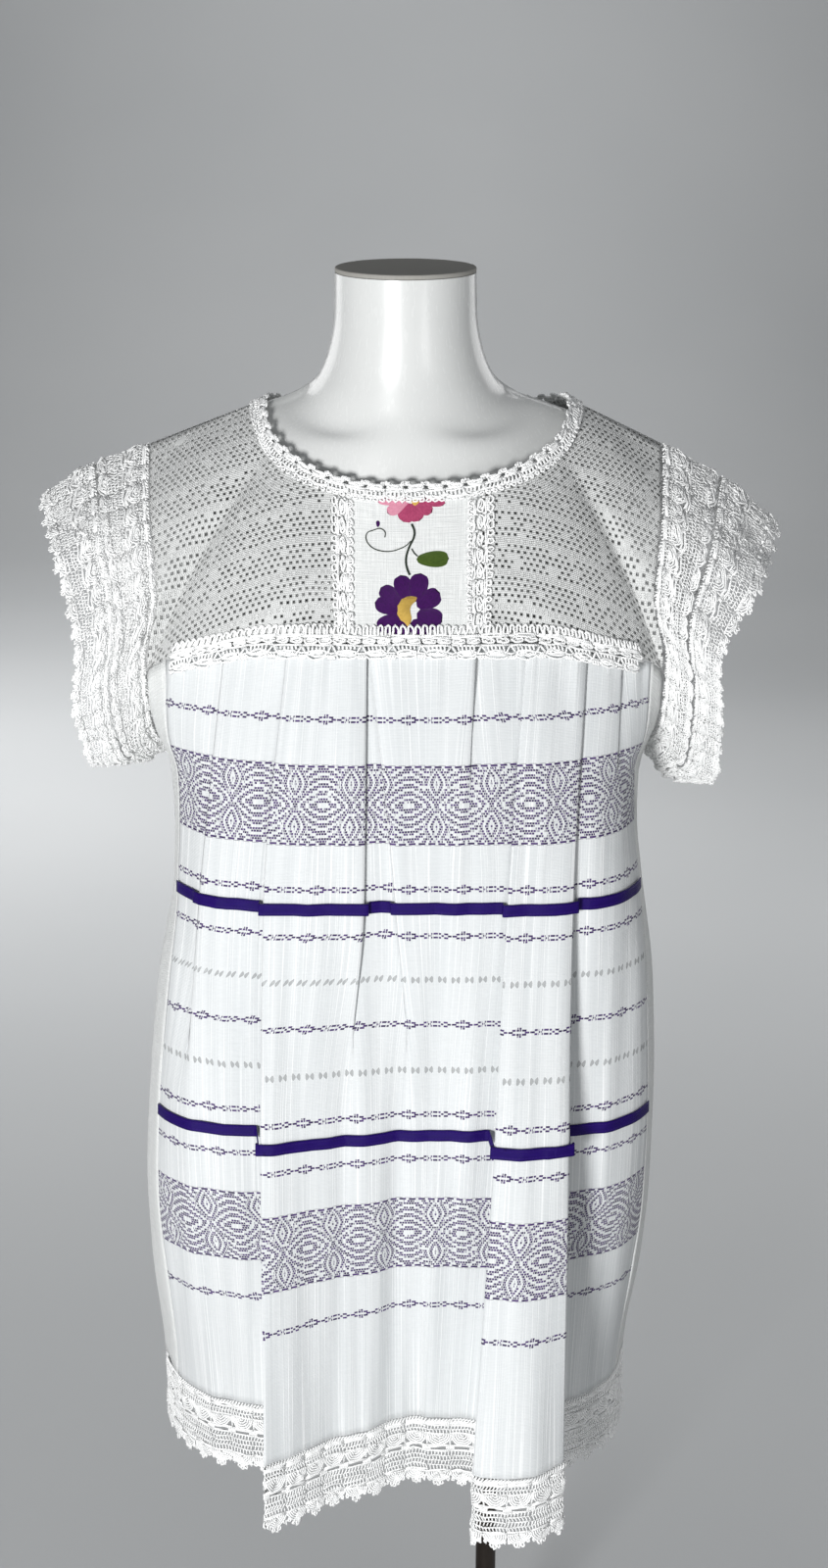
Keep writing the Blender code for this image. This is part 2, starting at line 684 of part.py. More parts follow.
def ribbon_line(z, folds, facing):
    """The pleats' outer line at one height, moved out, for a ribbon sewn over the folds."""
    ends = []
    for right in (False, True):
        place = body_point(seam_angle(z, facing, right), z)
        ends.append((place.x, 0.0, 0.0))
    groups = [fold_corners(fold, z) for fold in folds]
    bounds = [ends[:1]] + groups + [ends[1:]]
    chains = []
    for k, fold in enumerate(folds):
        before, after = bounds[k][-1], bounds[k + 2][0]
        chains.append(ribbon_corners(fold, groups[k], before, after, z))
    line = ribbon_edge(False, groups[0][0], chains[0][0], z, facing)
    for k, chain in enumerate(chains):
        line += [shaped_point(x, depth - RIBBON_OUT, stand, z, facing)
                 for x, depth, stand in chain]
        if k + 1 < len(chains):
            crown = box_crown(folds[k], z, facing)
            for share in SPAN_SHARES:
                x = mix(chain[-1][0], chains[k + 1][0][0], share)
                x, depth, stand = cloth_at(groups[k][-1], groups[k + 1][0], x)
                line.append(shaped_point(x, depth - RIBBON_OUT, stand + crown, z, facing))
    return line + ribbon_edge(True, groups[-1][-1], chains[-1][-1], z, facing)[::-1]


def ribbon_edge(right, corner, near, z, facing):
    """The ribbon from a side seam to the first fold, round the side of the body."""
    seam = seam_angle(z, facing, right)
    turn = turned(angle_at_x(corner[0], z, facing), seam)
    stop = turned(angle_at_x(near[0], z, facing), seam)
    line = [body_point(seam, z, RIBBON_OUT)]
    for share in EDGE_SHARES:
        depth = corner[1] * share * stop / turn
        line.append(body_point(seam + stop * share, z, RIBBON_OUT - depth))
    return line


def turned(angle, start):
    """The turn from one angle to another, the short way round."""
    return (angle - start + 180.0) % 360.0 - 180.0


def ribbon_corners(fold, corners, before, after, z):
    """A ribbon steps over a pressed fold's edge, and follows a standing or open one."""
    points, x, opened, left, right = fold_state(fold, z)
    if opened > 0.5:
        return corners
    low, turn, under, high = corners if points < 0 else corners[::-1]
    beside = before if points < 0 else after
    edge = (min if points < 0 else max)(under[0], high[0]) + points * RIBBON_OVER
    if high[2] - low[2] > STANDING:
        foot = low[0] + points * RIBBON_FOOT
        inner = cloth_at(beside, low, foot)
        rise = inner[2] + RIBBON_RISE
        chain = [inner, (foot, inner[1], rise), (edge, high[1], high[2] - RIBBON_OUT),
                 (edge, high[1], high[2])]
    else:
        inner = cloth_at(beside, low, edge)
        chain = [(edge, mix(inner[1], high[1], share), mix(inner[2], high[2], share))
                 for share in RIBBON_STEPS]
    return chain if points < 0 else chain[::-1]


def ribbon_grid(centre_z, folds, facing):
    half = RIBBON_HEIGHT / 2.0
    return [ribbon_line(z, folds, facing) for z in (centre_z + half, centre_z - half)]


# Lace

def hem_line(folds, facing):
    """The hem's outline over one half of the body, side to side."""
    start, stop = (180.0, 360.0) if facing < 0 else (180.0, 0.0)
    first = seam_angle(HEM_Z, facing, False)
    last = seam_angle(HEM_Z, facing, True)
    nudge = -facing * HEM_GAP_ANGLE
    line = [body_point(mix(start, first, k / 3.0), HEM_Z) for k in range(3)]
    line[0] = body_point(start + nudge, HEM_Z)
    line += cloth_line(HEM_Z, folds, facing)
    line += [body_point(mix(last, stop, (k + 1) / 3.0), HEM_Z) for k in range(3)]
    line[-1] = body_point(stop - nudge, HEM_Z)
    return line


def resample(line, shares):
    """Points at given shares of a line's length."""
    lengths = [0.0]
    for a, b in zip(line, line[1:]):
        lengths.append(lengths[-1] + (b - a).length)
    points = []
    for share in shares:
        target = share * lengths[-1]
        k = 0
        while k < len(line) - 2 and lengths[k + 1] < target:
            k += 1
        span = max(lengths[k + 1] - lengths[k], 1e-9)
        points.append(line[k].lerp(line[k + 1], min(max((target - lengths[k]) / span, 0.0), 1.0)))
    return points


def line_length(line):
    return sum((b - a).length for a, b in zip(line, line[1:]))


def repeat_shares(repeats):
    """Shares of the length at the sides of each slot, slot then bar."""
    shares = []
    for k in range(repeats):
        shares.append((k + 0.5 * (1.0 - SLOT_SHARE)) / repeats)
        shares.append((k + 0.5 * (1.0 + SLOT_SHARE)) / repeats)
    return shares


def lace_surface(rows, tips, closed):
    """Faces of a lace strip: rows of points, slots left out, and a tooth under each slot."""
    points = [point for row in rows for point in row]
    count = len(rows[0])
    faces = []
    spans = count if closed else count - 1
    for row in range(len(rows) - 1):
        for k in range(spans):
            slot = row == 1 and (k % 2 == 0 if closed else k % 2 == 1)
            if not slot:
                a = row * count + k
                b = row * count + (k + 1) % count
                faces.append((a, b, b + count, a + count))
    last = (len(rows) - 1) * count
    first_slot = 0 if closed else 1
    for k in range(first_slot, spans if tips else 0, 2):
        left, right = tips[k], tips[(k + 1) % count]
        index = len(points)
        points.append(left.lerp(right, TOOTH_EDGE))
        points.append(right.lerp(left, TOOTH_EDGE))
        faces.append((last + k, last + (k + 1) % count, index + 1, index))
    return points, faces


def hem_lace(folds, facing):
    line = hem_line(folds, facing)
    repeats = round(line_length(line) / LACE_REPEAT)
    points = resample(line, [0.0] + repeat_shares(repeats) + [1.0])
    rows = []
    for share in HEM_LACE_ROWS:
        z = HEM_Z - GAP - share * LACE_DROP
        rows.append([Vector((point.x, point.y, z)) for point in points])
    return lace_surface(rows[:-1], rows[-1], False)


def sleeve_point(turn, across, right):
    """A point of a sleeve: across 0 is the armhole seam, 1 the free edge."""
    table = SLEEVE_EDGE_RIGHT if right else SLEEVE_EDGE_LEFT
    seam = ring_point(ARMHOLE, turn, right)
    edge = ring_point(table, turn, right)
    seam.x += SLEEVE_SEAM if right else -SLEEVE_SEAM
    centre = (seam + edge) * 0.5
    swell = Vector((0.0, centre.y, centre.z - SLEEVE_CENTRE_Z)).normalized()
    return seam.lerp(edge, across) + swell * SLEEVE_SWELL * math.sin(math.pi * across)


def sleeve_lace(right, outer):
    """One of the two lace strips sewn together round a sleeve."""
    begin, end = SLEEVE_OUTER if outer else SLEEVE_INNER
    rows = []
    for share in SLEEVE_OUTER_ROWS if outer else SLEEVE_INNER_ROWS:
        rows.append([sleeve_point(360.0 * turn, mix(begin, end, share), right)
                     for turn in repeat_shares(SLEEVE_REPEATS)])
    if outer:
        return lace_surface(rows[:-1], rows[-1], True)
    return lace_surface(rows, None, True)


# Making the objects

def grid_surface(rows, closed=False):
    points = [point for row in rows for point in row]
    count = len(rows[0])
    faces = []
    spans = count if closed else count - 1
    for row in range(len(rows) - 1):
        for k in range(spans):
            a = row * count + k
            b = row * count + (k + 1) % count
            faces.append((a, b, b + count, a + count))
    return points, faces


def new_object(name, mesh, material, collection):
    item = bpy.data.objects.new(name, mesh)
    mesh.materials.append(material)
    collection.objects.link(item)
    return item


def cloth_object(name, surface, thickness, material, collection):
    """An open surface made into a wall of even thickness about its middle."""
    points, faces = surface
    mesh = bpy.data.meshes.new(name)
    mesh.from_pydata([tuple(point) for point in points], [], faces)
    mesh.update()
    item = new_object(name, mesh, material, collection)
    solidify = item.modifiers.new("wall", "SOLIDIFY")
    solidify.thickness = thickness
    solidify.offset = 0.0
    solidify.use_even_offset = False
    solidify.use_rim = True
    return item


def cylinder_object(name, radius, bottom, top, x, material, collection, sides):
    mesh = bpy.data.meshes.new(name)
    shape = bmesh.new()
    bmesh.ops.create_cone(shape, cap_ends=True, segments=sides, radius1=radius,
                          radius2=radius, depth=top - bottom)
    shape.to_mesh(mesh)
    shape.free()
    item = new_object(name, mesh, material, collection)
    item.location = (x, 0.0, (top + bottom) / 2.0)
    mesh.shade_smooth()
    mesh.set_sharp_from_angle(angle=math.radians(40.0))
    return item


def form_point(ring, angle):
    side, side_z, front, front_z, back, back_z, square = ring
    c = math.cos(math.radians(angle))
    s = math.sin(math.radians(angle))
    depth = front if s < 0.0 else back
    reach = (abs(c / side) ** square + abs(s / depth) ** square) ** (-1.0 / square)
    x, y = reach * c, reach * s
    forward = (abs(y) / depth) ** FORM_BEND
    return Vector((x, y, mix(side_z, front_z if s < 0.0 else back_z, forward)))


def form_object(material, collection):
    """The limbless torso, a closed loft of rings."""
    points = []
    for ring in FORM_RINGS:
        points += [form_point(ring, 360.0 * k / FORM_SIDES) for k in range(FORM_SIDES)]
    faces = []
    for row in range(len(FORM_RINGS) - 1):
        for k in range(FORM_SIDES):
            a = row * FORM_SIDES + k
            b = row * FORM_SIDES + (k + 1) % FORM_SIDES
            faces.append((a, a + FORM_SIDES, b + FORM_SIDES, b))
    faces.append(tuple(range(FORM_SIDES)))
    last = (len(FORM_RINGS) - 1) * FORM_SIDES
    faces.append(tuple(last + k for k in reversed(range(FORM_SIDES))))
    mesh = bpy.data.meshes.new("dress_form")
    mesh.from_pydata([tuple(point) for point in points], [], faces)
    mesh.shade_smooth()
    mesh.set_sharp_from_angle(angle=math.radians(50.0))
    return new_object("dress_form", mesh, material, collection)


def build_stand(materials, parts):
    form_bottom = FORM_RINGS[-1][1]
    cylinder_object("stand_base", BASE_RADIUS, 0.0, BASE_HEIGHT, 0.0,
                    materials["dark_steel"], parts, 48)
    cylinder_object("stand_pole", POLE_RADIUS, BASE_HEIGHT + GAP, form_bottom - GAP, POLE_X,
                    materials["dark_steel"], parts, 20)
    form_object(materials["white_form"], parts)
    cylinder_object("neck_cap", NECK_RADIUS, CAP_TOP - CAP_HEIGHT, CAP_TOP, 0.0,
                    materials["grey_cap"], parts, 40)


def build_yoke(materials, parts):
    crochet = materials["crochet"]
    cloth_object("yoke_front_left", grid_surface(front_yoke_grid(False)), CLOTH, crochet, parts)
    cloth_object("yoke_front_right", grid_surface(front_yoke_grid(True)), CLOTH, crochet, parts)
    cloth_object("yoke_back", grid_surface(back_yoke_grid()), CLOTH, crochet, parts)
    cloth_object("placket", grid_surface(placket_grid()), CLOTH, materials["plain_cloth"], parts)
    cloth_object("neck_trim", grid_surface(neck_trim_grid(), True), TRIM, crochet, parts)
    cloth_object("yoke_trim_front", grid_surface(seam_trim_grid(-1)), TRIM, crochet, parts)
    cloth_object("yoke_trim_back", grid_surface(seam_trim_grid(1)), TRIM, crochet, parts)
    for side, right in (("left", False), ("right", True)):
        cloth_object("placket_trim_" + side, grid_surface(placket_trim_grid(right)), TRIM,
                     crochet, parts)


def build_body(materials, parts):
    faces = (("front", FRONT_FOLDS, -1), ("back", BACK_FOLDS, 1))
    for side, folds, facing in faces:
        cloth_object(side + "_panel", grid_surface(pleated_grid(folds, facing)), CLOTH,
                     materials["gauze"], parts)
        cloth_object("hem_lace_" + side, hem_lace(folds, facing), LACE,
                     materials["crochet"], parts)
        for level, z in RIBBONS:
            cloth_object("ribbon_" + level + "_" + side, grid_surface(ribbon_grid(z, folds, facing)),
                         RIBBON, materials["satin_ribbon"], parts)
    for side, right in (("left", False), ("right", True)):
        cloth_object("side_panel_" + side, grid_surface(side_grid(right)), CLOTH,
                     materials["plain_cloth"], parts)


def build_sleeves(materials, parts):
    for side, right in (("left", False), ("right", True)):
        for strip, outer in (("inner", False), ("outer", True)):
            cloth_object("sleeve_lace_" + strip + "_" + side, sleeve_lace(right, outer), LACE,
                         materials["crochet"], parts)


def main():
    clear_scene()
    parts = bpy.data.collections.new(COLLECTION)
    bpy.context.scene.collection.children.link(parts)
    materials = {name: make_material(name) for name in MATERIALS}
    build_stand(materials, parts)
    build_yoke(materials, parts)
    build_body(materials, parts)
    build_sleeves(materials, parts)


main()
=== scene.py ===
"""Looks of the pleated huipil blouse on its dress form.

The cloth is laid out from the same tables as the solids, only finer, with rounded folds
and soft ripples. Lace and trims are real thread, bent over the cloth. Metres, +Z up,
the front of the blouse towards -Y.
"""
import functools
import math

import bpy
import numpy as np
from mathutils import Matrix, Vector


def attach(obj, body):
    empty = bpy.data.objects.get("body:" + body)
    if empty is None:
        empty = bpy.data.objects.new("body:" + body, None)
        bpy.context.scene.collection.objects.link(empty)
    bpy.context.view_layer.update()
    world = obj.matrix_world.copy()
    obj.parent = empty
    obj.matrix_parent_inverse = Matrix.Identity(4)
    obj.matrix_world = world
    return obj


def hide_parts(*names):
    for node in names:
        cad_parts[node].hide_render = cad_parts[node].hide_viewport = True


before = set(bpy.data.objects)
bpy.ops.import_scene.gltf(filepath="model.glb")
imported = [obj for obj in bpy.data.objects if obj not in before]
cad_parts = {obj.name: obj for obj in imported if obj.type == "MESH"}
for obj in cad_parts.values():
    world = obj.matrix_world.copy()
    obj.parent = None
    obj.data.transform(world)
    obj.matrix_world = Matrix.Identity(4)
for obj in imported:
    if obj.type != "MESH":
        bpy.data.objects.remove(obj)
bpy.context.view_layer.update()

# Sizes that the solids have too: the stand, the gaps, the hem and the pleats

BASE_RADIUS = 0.150
BASE_HEIGHT = 0.010
POLE_RADIUS = 0.0088
POLE_X = 0.070
CAP_TOP = 1.280
CAP_HEIGHT = 0.0035
NECK_RADIUS = 0.0537
GAP = 0.0003
SEAM_GAP = 0.0014
SHOULDER_GAP = 0.0005
SIDE_GAP_ANGLE = 0.12
HEM_Z = 0.382
PLEAT_STEP = 0.0026
BOX_CROWN = 0.010

# Sections of the body of the blouse: height, reach to the left, right, front and back,
# and how square its front is (2 is an ellipse)
SECTIONS = (
    # z, left, right, front, back, square
    (1.030, 0.226, 0.226, 0.120, 0.105, 2.3),
    (0.985, 0.214, 0.212, 0.127, 0.105, 2.5),
    (0.930, 0.197, 0.195, 0.136, 0.106, 3.0),
    (0.905, 0.185, 0.183, 0.139, 0.107, 3.4),
    (0.860, 0.181, 0.181, 0.143, 0.110, 4.2),
    (0.817, 0.182, 0.185, 0.147, 0.115, 4.6),
    (0.725, 0.198, 0.197, 0.149, 0.123, 4.2),
    (0.633, 0.207, 0.200, 0.157, 0.130, 4.2),
    (0.550, 0.212, 0.199, 0.156, 0.135, 4.0),
    (0.485, 0.211, 0.195, 0.153, 0.140, 3.6),
    (0.382, 0.204, 0.183, 0.150, 0.145, 3.0),
    (0.300, 0.202, 0.181, 0.150, 0.146, 3.0),
)
BACK_SQUARE = 2.5

# The upper edge of the body, by the angle from its side round to its front or back
TOP_EDGE = (
    # angle, z
    (0.0, 0.905),
    (11.6, 0.932),
    (17.6, 0.980),
    (30.0, 1.001),
    (48.0, 1.016),
    (90.0, 1.018),
)
CORNER_ANGLE = 17.6

# Where the side panels are sewn to the front, by height, and to the back
SIDE_SEAMS = (
    # z, left, right
    (0.930, 24.0, 22.0),
    (0.860, 27.0, 24.0),
    (0.817, 28.0, 25.0),
    (0.725, 29.0, 27.0),
    (0.633, 29.0, 28.0),
    (0.485, 29.0, 28.0),
    (0.382, 25.0, 24.0),
)
BACK_SEAM = 12.0

# How far the standing folds have come out, by height
FOLD_GROWTH = (
    # z, share
    (1.018, 0.00),
    (0.900, 0.01),
    (0.817, 0.05),
    (0.725, 0.18),
    (0.633, 0.36),
    (0.550, 0.54),
    (0.485, 0.68),
    (0.382, 1.00),
)
FOLD_HEIGHTS = (1.018, 0.817, 0.633, 0.382)

# Pleats, left to right: which way the fold points (-1 left), where its edge is at the yoke,
# the upper ribbon, the lower ribbon and the hem, how far open it is at those, and how far
# the cloth stands forward at the hem on the fold's left and right
FRONT_FOLDS = (
    # name, points, x at four heights, open at four heights, stands left, stands right
    ("a", -1, (-0.1355, -0.1590, -0.1760, -0.1670), (0.0, 0.0, 0.9, 1.0), 0.000, 0.000),
    ("b", -1, (-0.0880, -0.1080, -0.1115, -0.1110), (0.0, 0.0, 0.0, 0.0), 0.000, 0.086),
    ("c", 1, (-0.0290, -0.0310, -0.0420, -0.0430), (0.0, 0.1, 1.0, 1.0), 0.032, 0.027),
    ("d", -1, (-0.0276, -0.0085, 0.0000, 0.0000), (0.0, 0.1, 1.0, 1.0), 0.006, 0.002),
    ("e", 1, (0.0530, 0.0500, 0.0380, 0.0270), (0.0, 1.0, 1.0, 1.0), 0.004, 0.006),
    ("f", -1, (0.0910, 0.0770, 0.0680, 0.0520), (0.0, 0.0, 0.0, 0.0), 0.016, 0.090),
    ("g", 1, (0.1380, 0.1280, 0.1255, 0.1240), (0.0, 0.0, 0.0, 0.0), 0.088, 0.004),
    ("h", 1, (0.1650, 0.1660, 0.1660, 0.1560), (0.0, 1.0, 1.0, 1.0), 0.000, 0.000),
)
BACK_FOLDS = (
    # name, points, x at four heights, open at four heights, stands left, stands right
    ("a", -1, (-0.1380, -0.1450, -0.1500, -0.1480), (0.0, 0.1, 1.0, 1.0), 0.000, 0.004),
    ("b", -1, (-0.0820, -0.0880, -0.0920, -0.0900), (0.0, 0.0, 0.0, 0.0), 0.004, 0.052),
    ("c", 1, (-0.0200, -0.0230, -0.0260, -0.0260), (0.0, 0.0, 0.0, 0.0), 0.040, 0.004),
    ("d", -1, (0.0200, 0.0230, 0.0260, 0.0270), (0.0, 0.0, 0.0, 0.0), 0.004, 0.038),
    ("e", 1, (0.0820, 0.0880, 0.0900, 0.0860), (0.0, 0.0, 0.0, 0.0), 0.048, 0.004),
    ("f", 1, (0.1380, 0.1440, 0.1480, 0.1420), (0.0, 0.1, 1.0, 1.0), 0.004, 0.000),
)
FOLD_LAP = 0.016
LAP_AT_HEM = 0.011
OPEN_REACH = 0.011
OPEN_RISE = (0.0, 0.26, 0.74, 1.0)
BOX_FOLD = "f"
RIBBON_HEIGHT = 0.0095
RIBBONS = (("upper", 0.8170), ("lower", 0.6335))
RIBBON_OUT = 0.0013
RIBBON_OVER = 0.0034
RIBBON_FOOT = 0.0046
RIBBON_RISE = 0.0032
RIBBON_STEPS = (0.0, 0.35, 0.7, 1.0)
STANDING = 0.022
EDGE_SHARES = (0.12, 0.32, 0.62)
SPAN_SHARES = (0.34, 0.67)

# Yoke: neckline, placket and armholes
NECK_LEFT, NECK_RIGHT = 0.1105, 0.1275
NECK_FRONT, NECK_BACK = 0.0885, 0.0800
NECK_SIDE_Z, NECK_FRONT_Z, NECK_BACK_Z = 1.1785, 1.1275, 1.1600
NECK_SQUARE, NECK_BEND = 2.5, 1.25
NECK_OVAL = ((NECK_LEFT, NECK_RIGHT), (NECK_FRONT, NECK_BACK), (NECK_SQUARE, NECK_SQUARE))
PLACKET_LEFT, PLACKET_RIGHT = -0.0475, 0.0565
YOKE_SEAM_Z = 1.0
BACK_MIDDLE = 0.0001
CORNER_SHARE = 0.55
CORNER_BLEND = 6.0

# How far the yoke swells between its edges, and the round shape it swells from
YOKE_SWELL = 0.011
SWELL_X, SWELL_Y, SWELL_Z = 0.04, 0.01, 0.0225

# The step in which the yoke's slope is measured, and a point well inside the body
NORMAL_STEP = 0.02
CHEST = (0.0, 0.0, 0.95)

# Trims: reach either side of the edge they cover, and how far they stand off the cloth
NECK_TRIM_IN, NECK_TRIM_OUT = 0.0045, 0.0125
SEAM_TRIM_UP = 0.0130
PLACKET_TRIM_LEFT, PLACKET_TRIM_RIGHT = 0.0085, 0.0105
PLACKET_TRIM_TOP, PLACKET_TRIM_BOTTOM = 9.0, 3.2
TRIM_OFF = 0.0015
TRIM_OFF_PLEATS = 0.0028
ARMHOLE_BACK = 0.90
ARMHOLE = (
    # turn, x, y, z for the left side seam, from the shoulder by the front to the underarm
    (0.0, 0.1970, 0.0000, 1.1450),
    (45.0, 0.1930, 0.0550, 1.0950),
    (80.0, 0.1880, 0.0740, 1.0400),
    (110.0, 0.1985, 0.0680, 0.9900),
    (150.0, 0.1970, 0.0400, 0.9300),
    (180.0, 0.1870, 0.0000, 0.9030),
)
CORNER_TURN = 115.0
SLEEVE_SEAM = 0.0013
SLEEVE_SWELL = 0.006
SLEEVE_CENTRE_Z = 1.02
SLEEVE_EDGE_LEFT = (
    # turn, x, y, z of the free edge
    (0.0, 0.2830, 0.0000, 1.1010),
    (45.0, 0.2640, 0.0680, 1.0620),
    (80.0, 0.2480, 0.1000, 1.0050),
    (110.0, 0.2540, 0.0850, 0.9600),
    (150.0, 0.2500, 0.0450, 0.9080),
    (180.0, 0.2250, 0.0000, 0.8860),
)
SLEEVE_EDGE_RIGHT = (
    # turn, x, y, z of the free edge
    (0.0, 0.2900, 0.0000, 1.0800),
    (45.0, 0.2620, 0.0850, 1.0400),
    (80.0, 0.2370, 0.1020, 0.9950),
    (110.0, 0.2420, 0.0850, 0.9580),
    (150.0, 0.2450, 0.0480, 0.8970),
    (180.0, 0.2180, 0.0000, 0.8680),
)
SLEEVE_INNER, SLEEVE_OUTER = (0.0, 0.495), (0.505, 1.0)
HEM_GAP_ANGLE = 0.1

# The form: rings from the neck down, each with its reach and height at side, front and back
FORM_RINGS = (
    # side, side z, front, front z, back, back z, square
    (0.0537, 1.2762, 0.0537, 1.2762, 0.0537, 1.2762, 2.0),
    (0.0545, 1.2450, 0.0560, 1.2450, 0.0540, 1.2450, 2.0),
    (0.0600, 1.2150, 0.0590, 1.2050, 0.0560, 1.2200, 2.0),
    (0.0700, 1.1950, 0.0640, 1.1800, 0.0620, 1.2000, 2.1),
    (0.0850, 1.1850, 0.0710, 1.1560, 0.0680, 1.1800, 2.2),
    (0.1120, 1.1762, 0.0780, 1.1250, 0.0720, 1.1500, 2.1),
    (0.1520, 1.1606, 0.0840, 1.0900, 0.0770, 1.1150, 2.05),
    (0.1800, 1.1489, 0.0900, 1.0600, 0.0820, 1.0800, 2.05),
    (0.1830, 1.1200, 0.0950, 1.0300, 0.0860, 1.0500, 2.1),
    (0.1790, 1.0750, 0.1000, 1.0000, 0.0890, 1.0150, 2.3),
    (0.1650, 1.0100, 0.1030, 0.9650, 0.0880, 0.9700, 2.2),
    (0.1450, 0.9200, 0.1000, 0.9100, 0.0860, 0.9100, 2.1),
    (0.1300, 0.8500, 0.0900, 0.8500, 0.0820, 0.8500, 2.1),
    (0.1240, 0.7900, 0.0840, 0.7900, 0.0800, 0.7900, 2.1),
    (0.1380, 0.7150, 0.0950, 0.7150, 0.0930, 0.7150, 2.1),
    (0.1580, 0.6300, 0.1050, 0.6300, 0.1120, 0.6300, 2.1),
    (0.1600, 0.5800, 0.1030, 0.5800, 0.1110, 0.5800, 2.1),
    (0.1500, 0.5200, 0.0950, 0.5200, 0.1000, 0.5200, 2.1),
)
FORM_BEND = 1.3

# The greatest share of a side's reach that an angle is worked out for
MOST_SHARE = 0.999


# The cloth's shape, as in the solids

def column(table, index):
    return [row[index] for row in table]


def smooth_value(places, values, place):
    """A smooth curve through a table's values that never overshoots them."""
    if places[0] > places[-1]:
        places = places[::-1]
        values = values[::-1]
    if place <= places[0]:
        return values[0]
    if place >= places[-1]:
        return values[-1]
    last = len(places) - 1
    spans = [places[i + 1] - places[i] for i in range(last)]
    slopes = [(values[i + 1] - values[i]) / spans[i] for i in range(last)]
    tangents = [slopes[0]]
    for i in range(1, last):
        if slopes[i - 1] * slopes[i] <= 0.0:
            tangents.append(0.0)
        else:
            tangents.append(2.0 * slopes[i - 1] * slopes[i] / (slopes[i - 1] + slopes[i]))
    tangents.append(slopes[-1])
    i = max(k for k in range(last) if places[k] <= place)
    t = (place - places[i]) / spans[i]
    rise = values[i + 1] - values[i]
    eased = t * t * (3.0 - 2.0 * t)
    lean = spans[i] * (tangents[i] * t * (1.0 - t) ** 2 - tangents[i + 1] * t * t * (1.0 - t))
    return values[i] + rise * eased + lean


def mix(a, b, share):
    return a + (b - a) * share


def oval(angle, sides, depths, powers):
    """A squarish oval's point at an angle, and its reach and squareness there.

    Sides are left and right. Depths and powers are those in front and those behind.
    """
    c = math.cos(math.radians(angle))
    s = math.sin(math.radians(angle))
    side = sides[1] if c > 0.0 else sides[0]
    depth = depths[0] if s < 0.0 else depths[1]
    power = powers[0] if s < 0.0 else powers[1]
    reach = (abs(c / side) ** power + abs(s / depth) ** power) ** (-1.0 / power)
    return reach * c, reach * s, side, depth, power


def oval_angle(x, facing, sides, depths, powers):
    """The angle of the point with this x on an oval's front (-1) or its back (1)."""
    side = sides[1] if x > 0.0 else sides[0]
    half = 0 if facing < 0 else 1
    share = min(abs(x) / side, MOST_SHARE)
    y = facing * depths[half] * (1.0 - share ** powers[half]) ** (1.0 / powers[half])
    return math.degrees(math.atan2(y, x)) % 360.0


@functools.lru_cache(maxsize=None)
def section(z):
    """The body at a height: its sides, its front and back, and how square those are."""
    heights = column(SECTIONS, 0)
    left, right, front, back, square = (smooth_value(heights, column(SECTIONS, k), z)
                                        for k in range(1, 6))
    return (left, right), (front, back), (square, BACK_SQUARE)


def body_point(angle, z, out=0.0):
    """The body's own surface at an angle: 180 is the left side, 270 the middle of the front."""
    x, y, side, depth, power = oval(angle, *section(z))
    nx = math.copysign(abs(x / side) ** (power - 1.0) / side, x)
    ny = math.copysign(abs(y / depth) ** (power - 1.0) / depth, y)
    size = math.hypot(nx, ny)
    return Vector((x + nx / size * out, y + ny / size * out, z))


def angle_at_x(x, z, facing):
    """The angle of the point with this x on the body's front (-1) or its back (1)."""
    return oval_angle(x, facing, *section(z))


def from_side(angle):
    """How far an angle is from the nearer side of the body, 0 to 90."""
    turned = angle % 180.0
    return min(turned, 180.0 - turned)


def top_height(angle):
    return smooth_value(column(TOP_EDGE, 0), column(TOP_EDGE, 1), from_side(angle))


def side_seam(z, facing, right):
    """Angle of a side seam, counted from the side of the body."""
    if facing > 0:
        return BACK_SEAM
    return smooth_value(column(SIDE_SEAMS, 0), column(SIDE_SEAMS, 2 if right else 1), z)


def seam_angle(z, facing, right):
    share = side_seam(z, facing, right)
    if facing < 0:
        return 360.0 - share if right else 180.0 + share
    return share if right else 180.0 - share


def fold_state(fold, z):
    """Edge, openness and stands of one fold at a height."""
    _, points, places, opens, left, right = fold
    growth = smooth_value(column(FOLD_GROWTH, 0), column(FOLD_GROWTH, 1), z)
    x = smooth_value(FOLD_HEIGHTS, places, z)
    opened = smooth_value(FOLD_HEIGHTS, opens, z)
    return points, x, opened, left * growth, right * growth


def fold_corners(fold, z):
    """Four points along the cloth through a fold: x, depth under the surface, and stand."""
    points, x, opened, left, right = fold_state(fold, z)
    lap = smooth_value(FOLD_HEIGHTS, (FOLD_LAP, FOLD_LAP, FOLD_LAP, LAP_AT_HEM), z)
    high, low = (right, left) if points < 0 else (left, right)
    behind = 2.0 * PLEAT_STEP * (1.0 - opened)
    step = PLEAT_STEP * (1.0 - opened)
    closed = (
        (x - points * lap, behind, low),
        (x - points * lap, behind - step, low),
        (x, step, high),
        (x, 0.0, high),
    )
    corners = []
    for k, (place, depth, stand) in enumerate(closed):
        along = (k / 1.5 - 1.0) * OPEN_REACH
        spread = x - points * along
        rise = mix(low, high, OPEN_RISE[k])
        corners.append((mix(place, spread, opened), depth, mix(stand, rise, opened)))
    return corners if points < 0 else corners[::-1]


def shaped_point(x, depth, stand, z, facing):
    """A point of the pleated cloth: back from the body's surface, then forward by its stand."""
    point = body_point(angle_at_x(x, z, facing), z, -depth)
    point.y += facing * stand
    return point


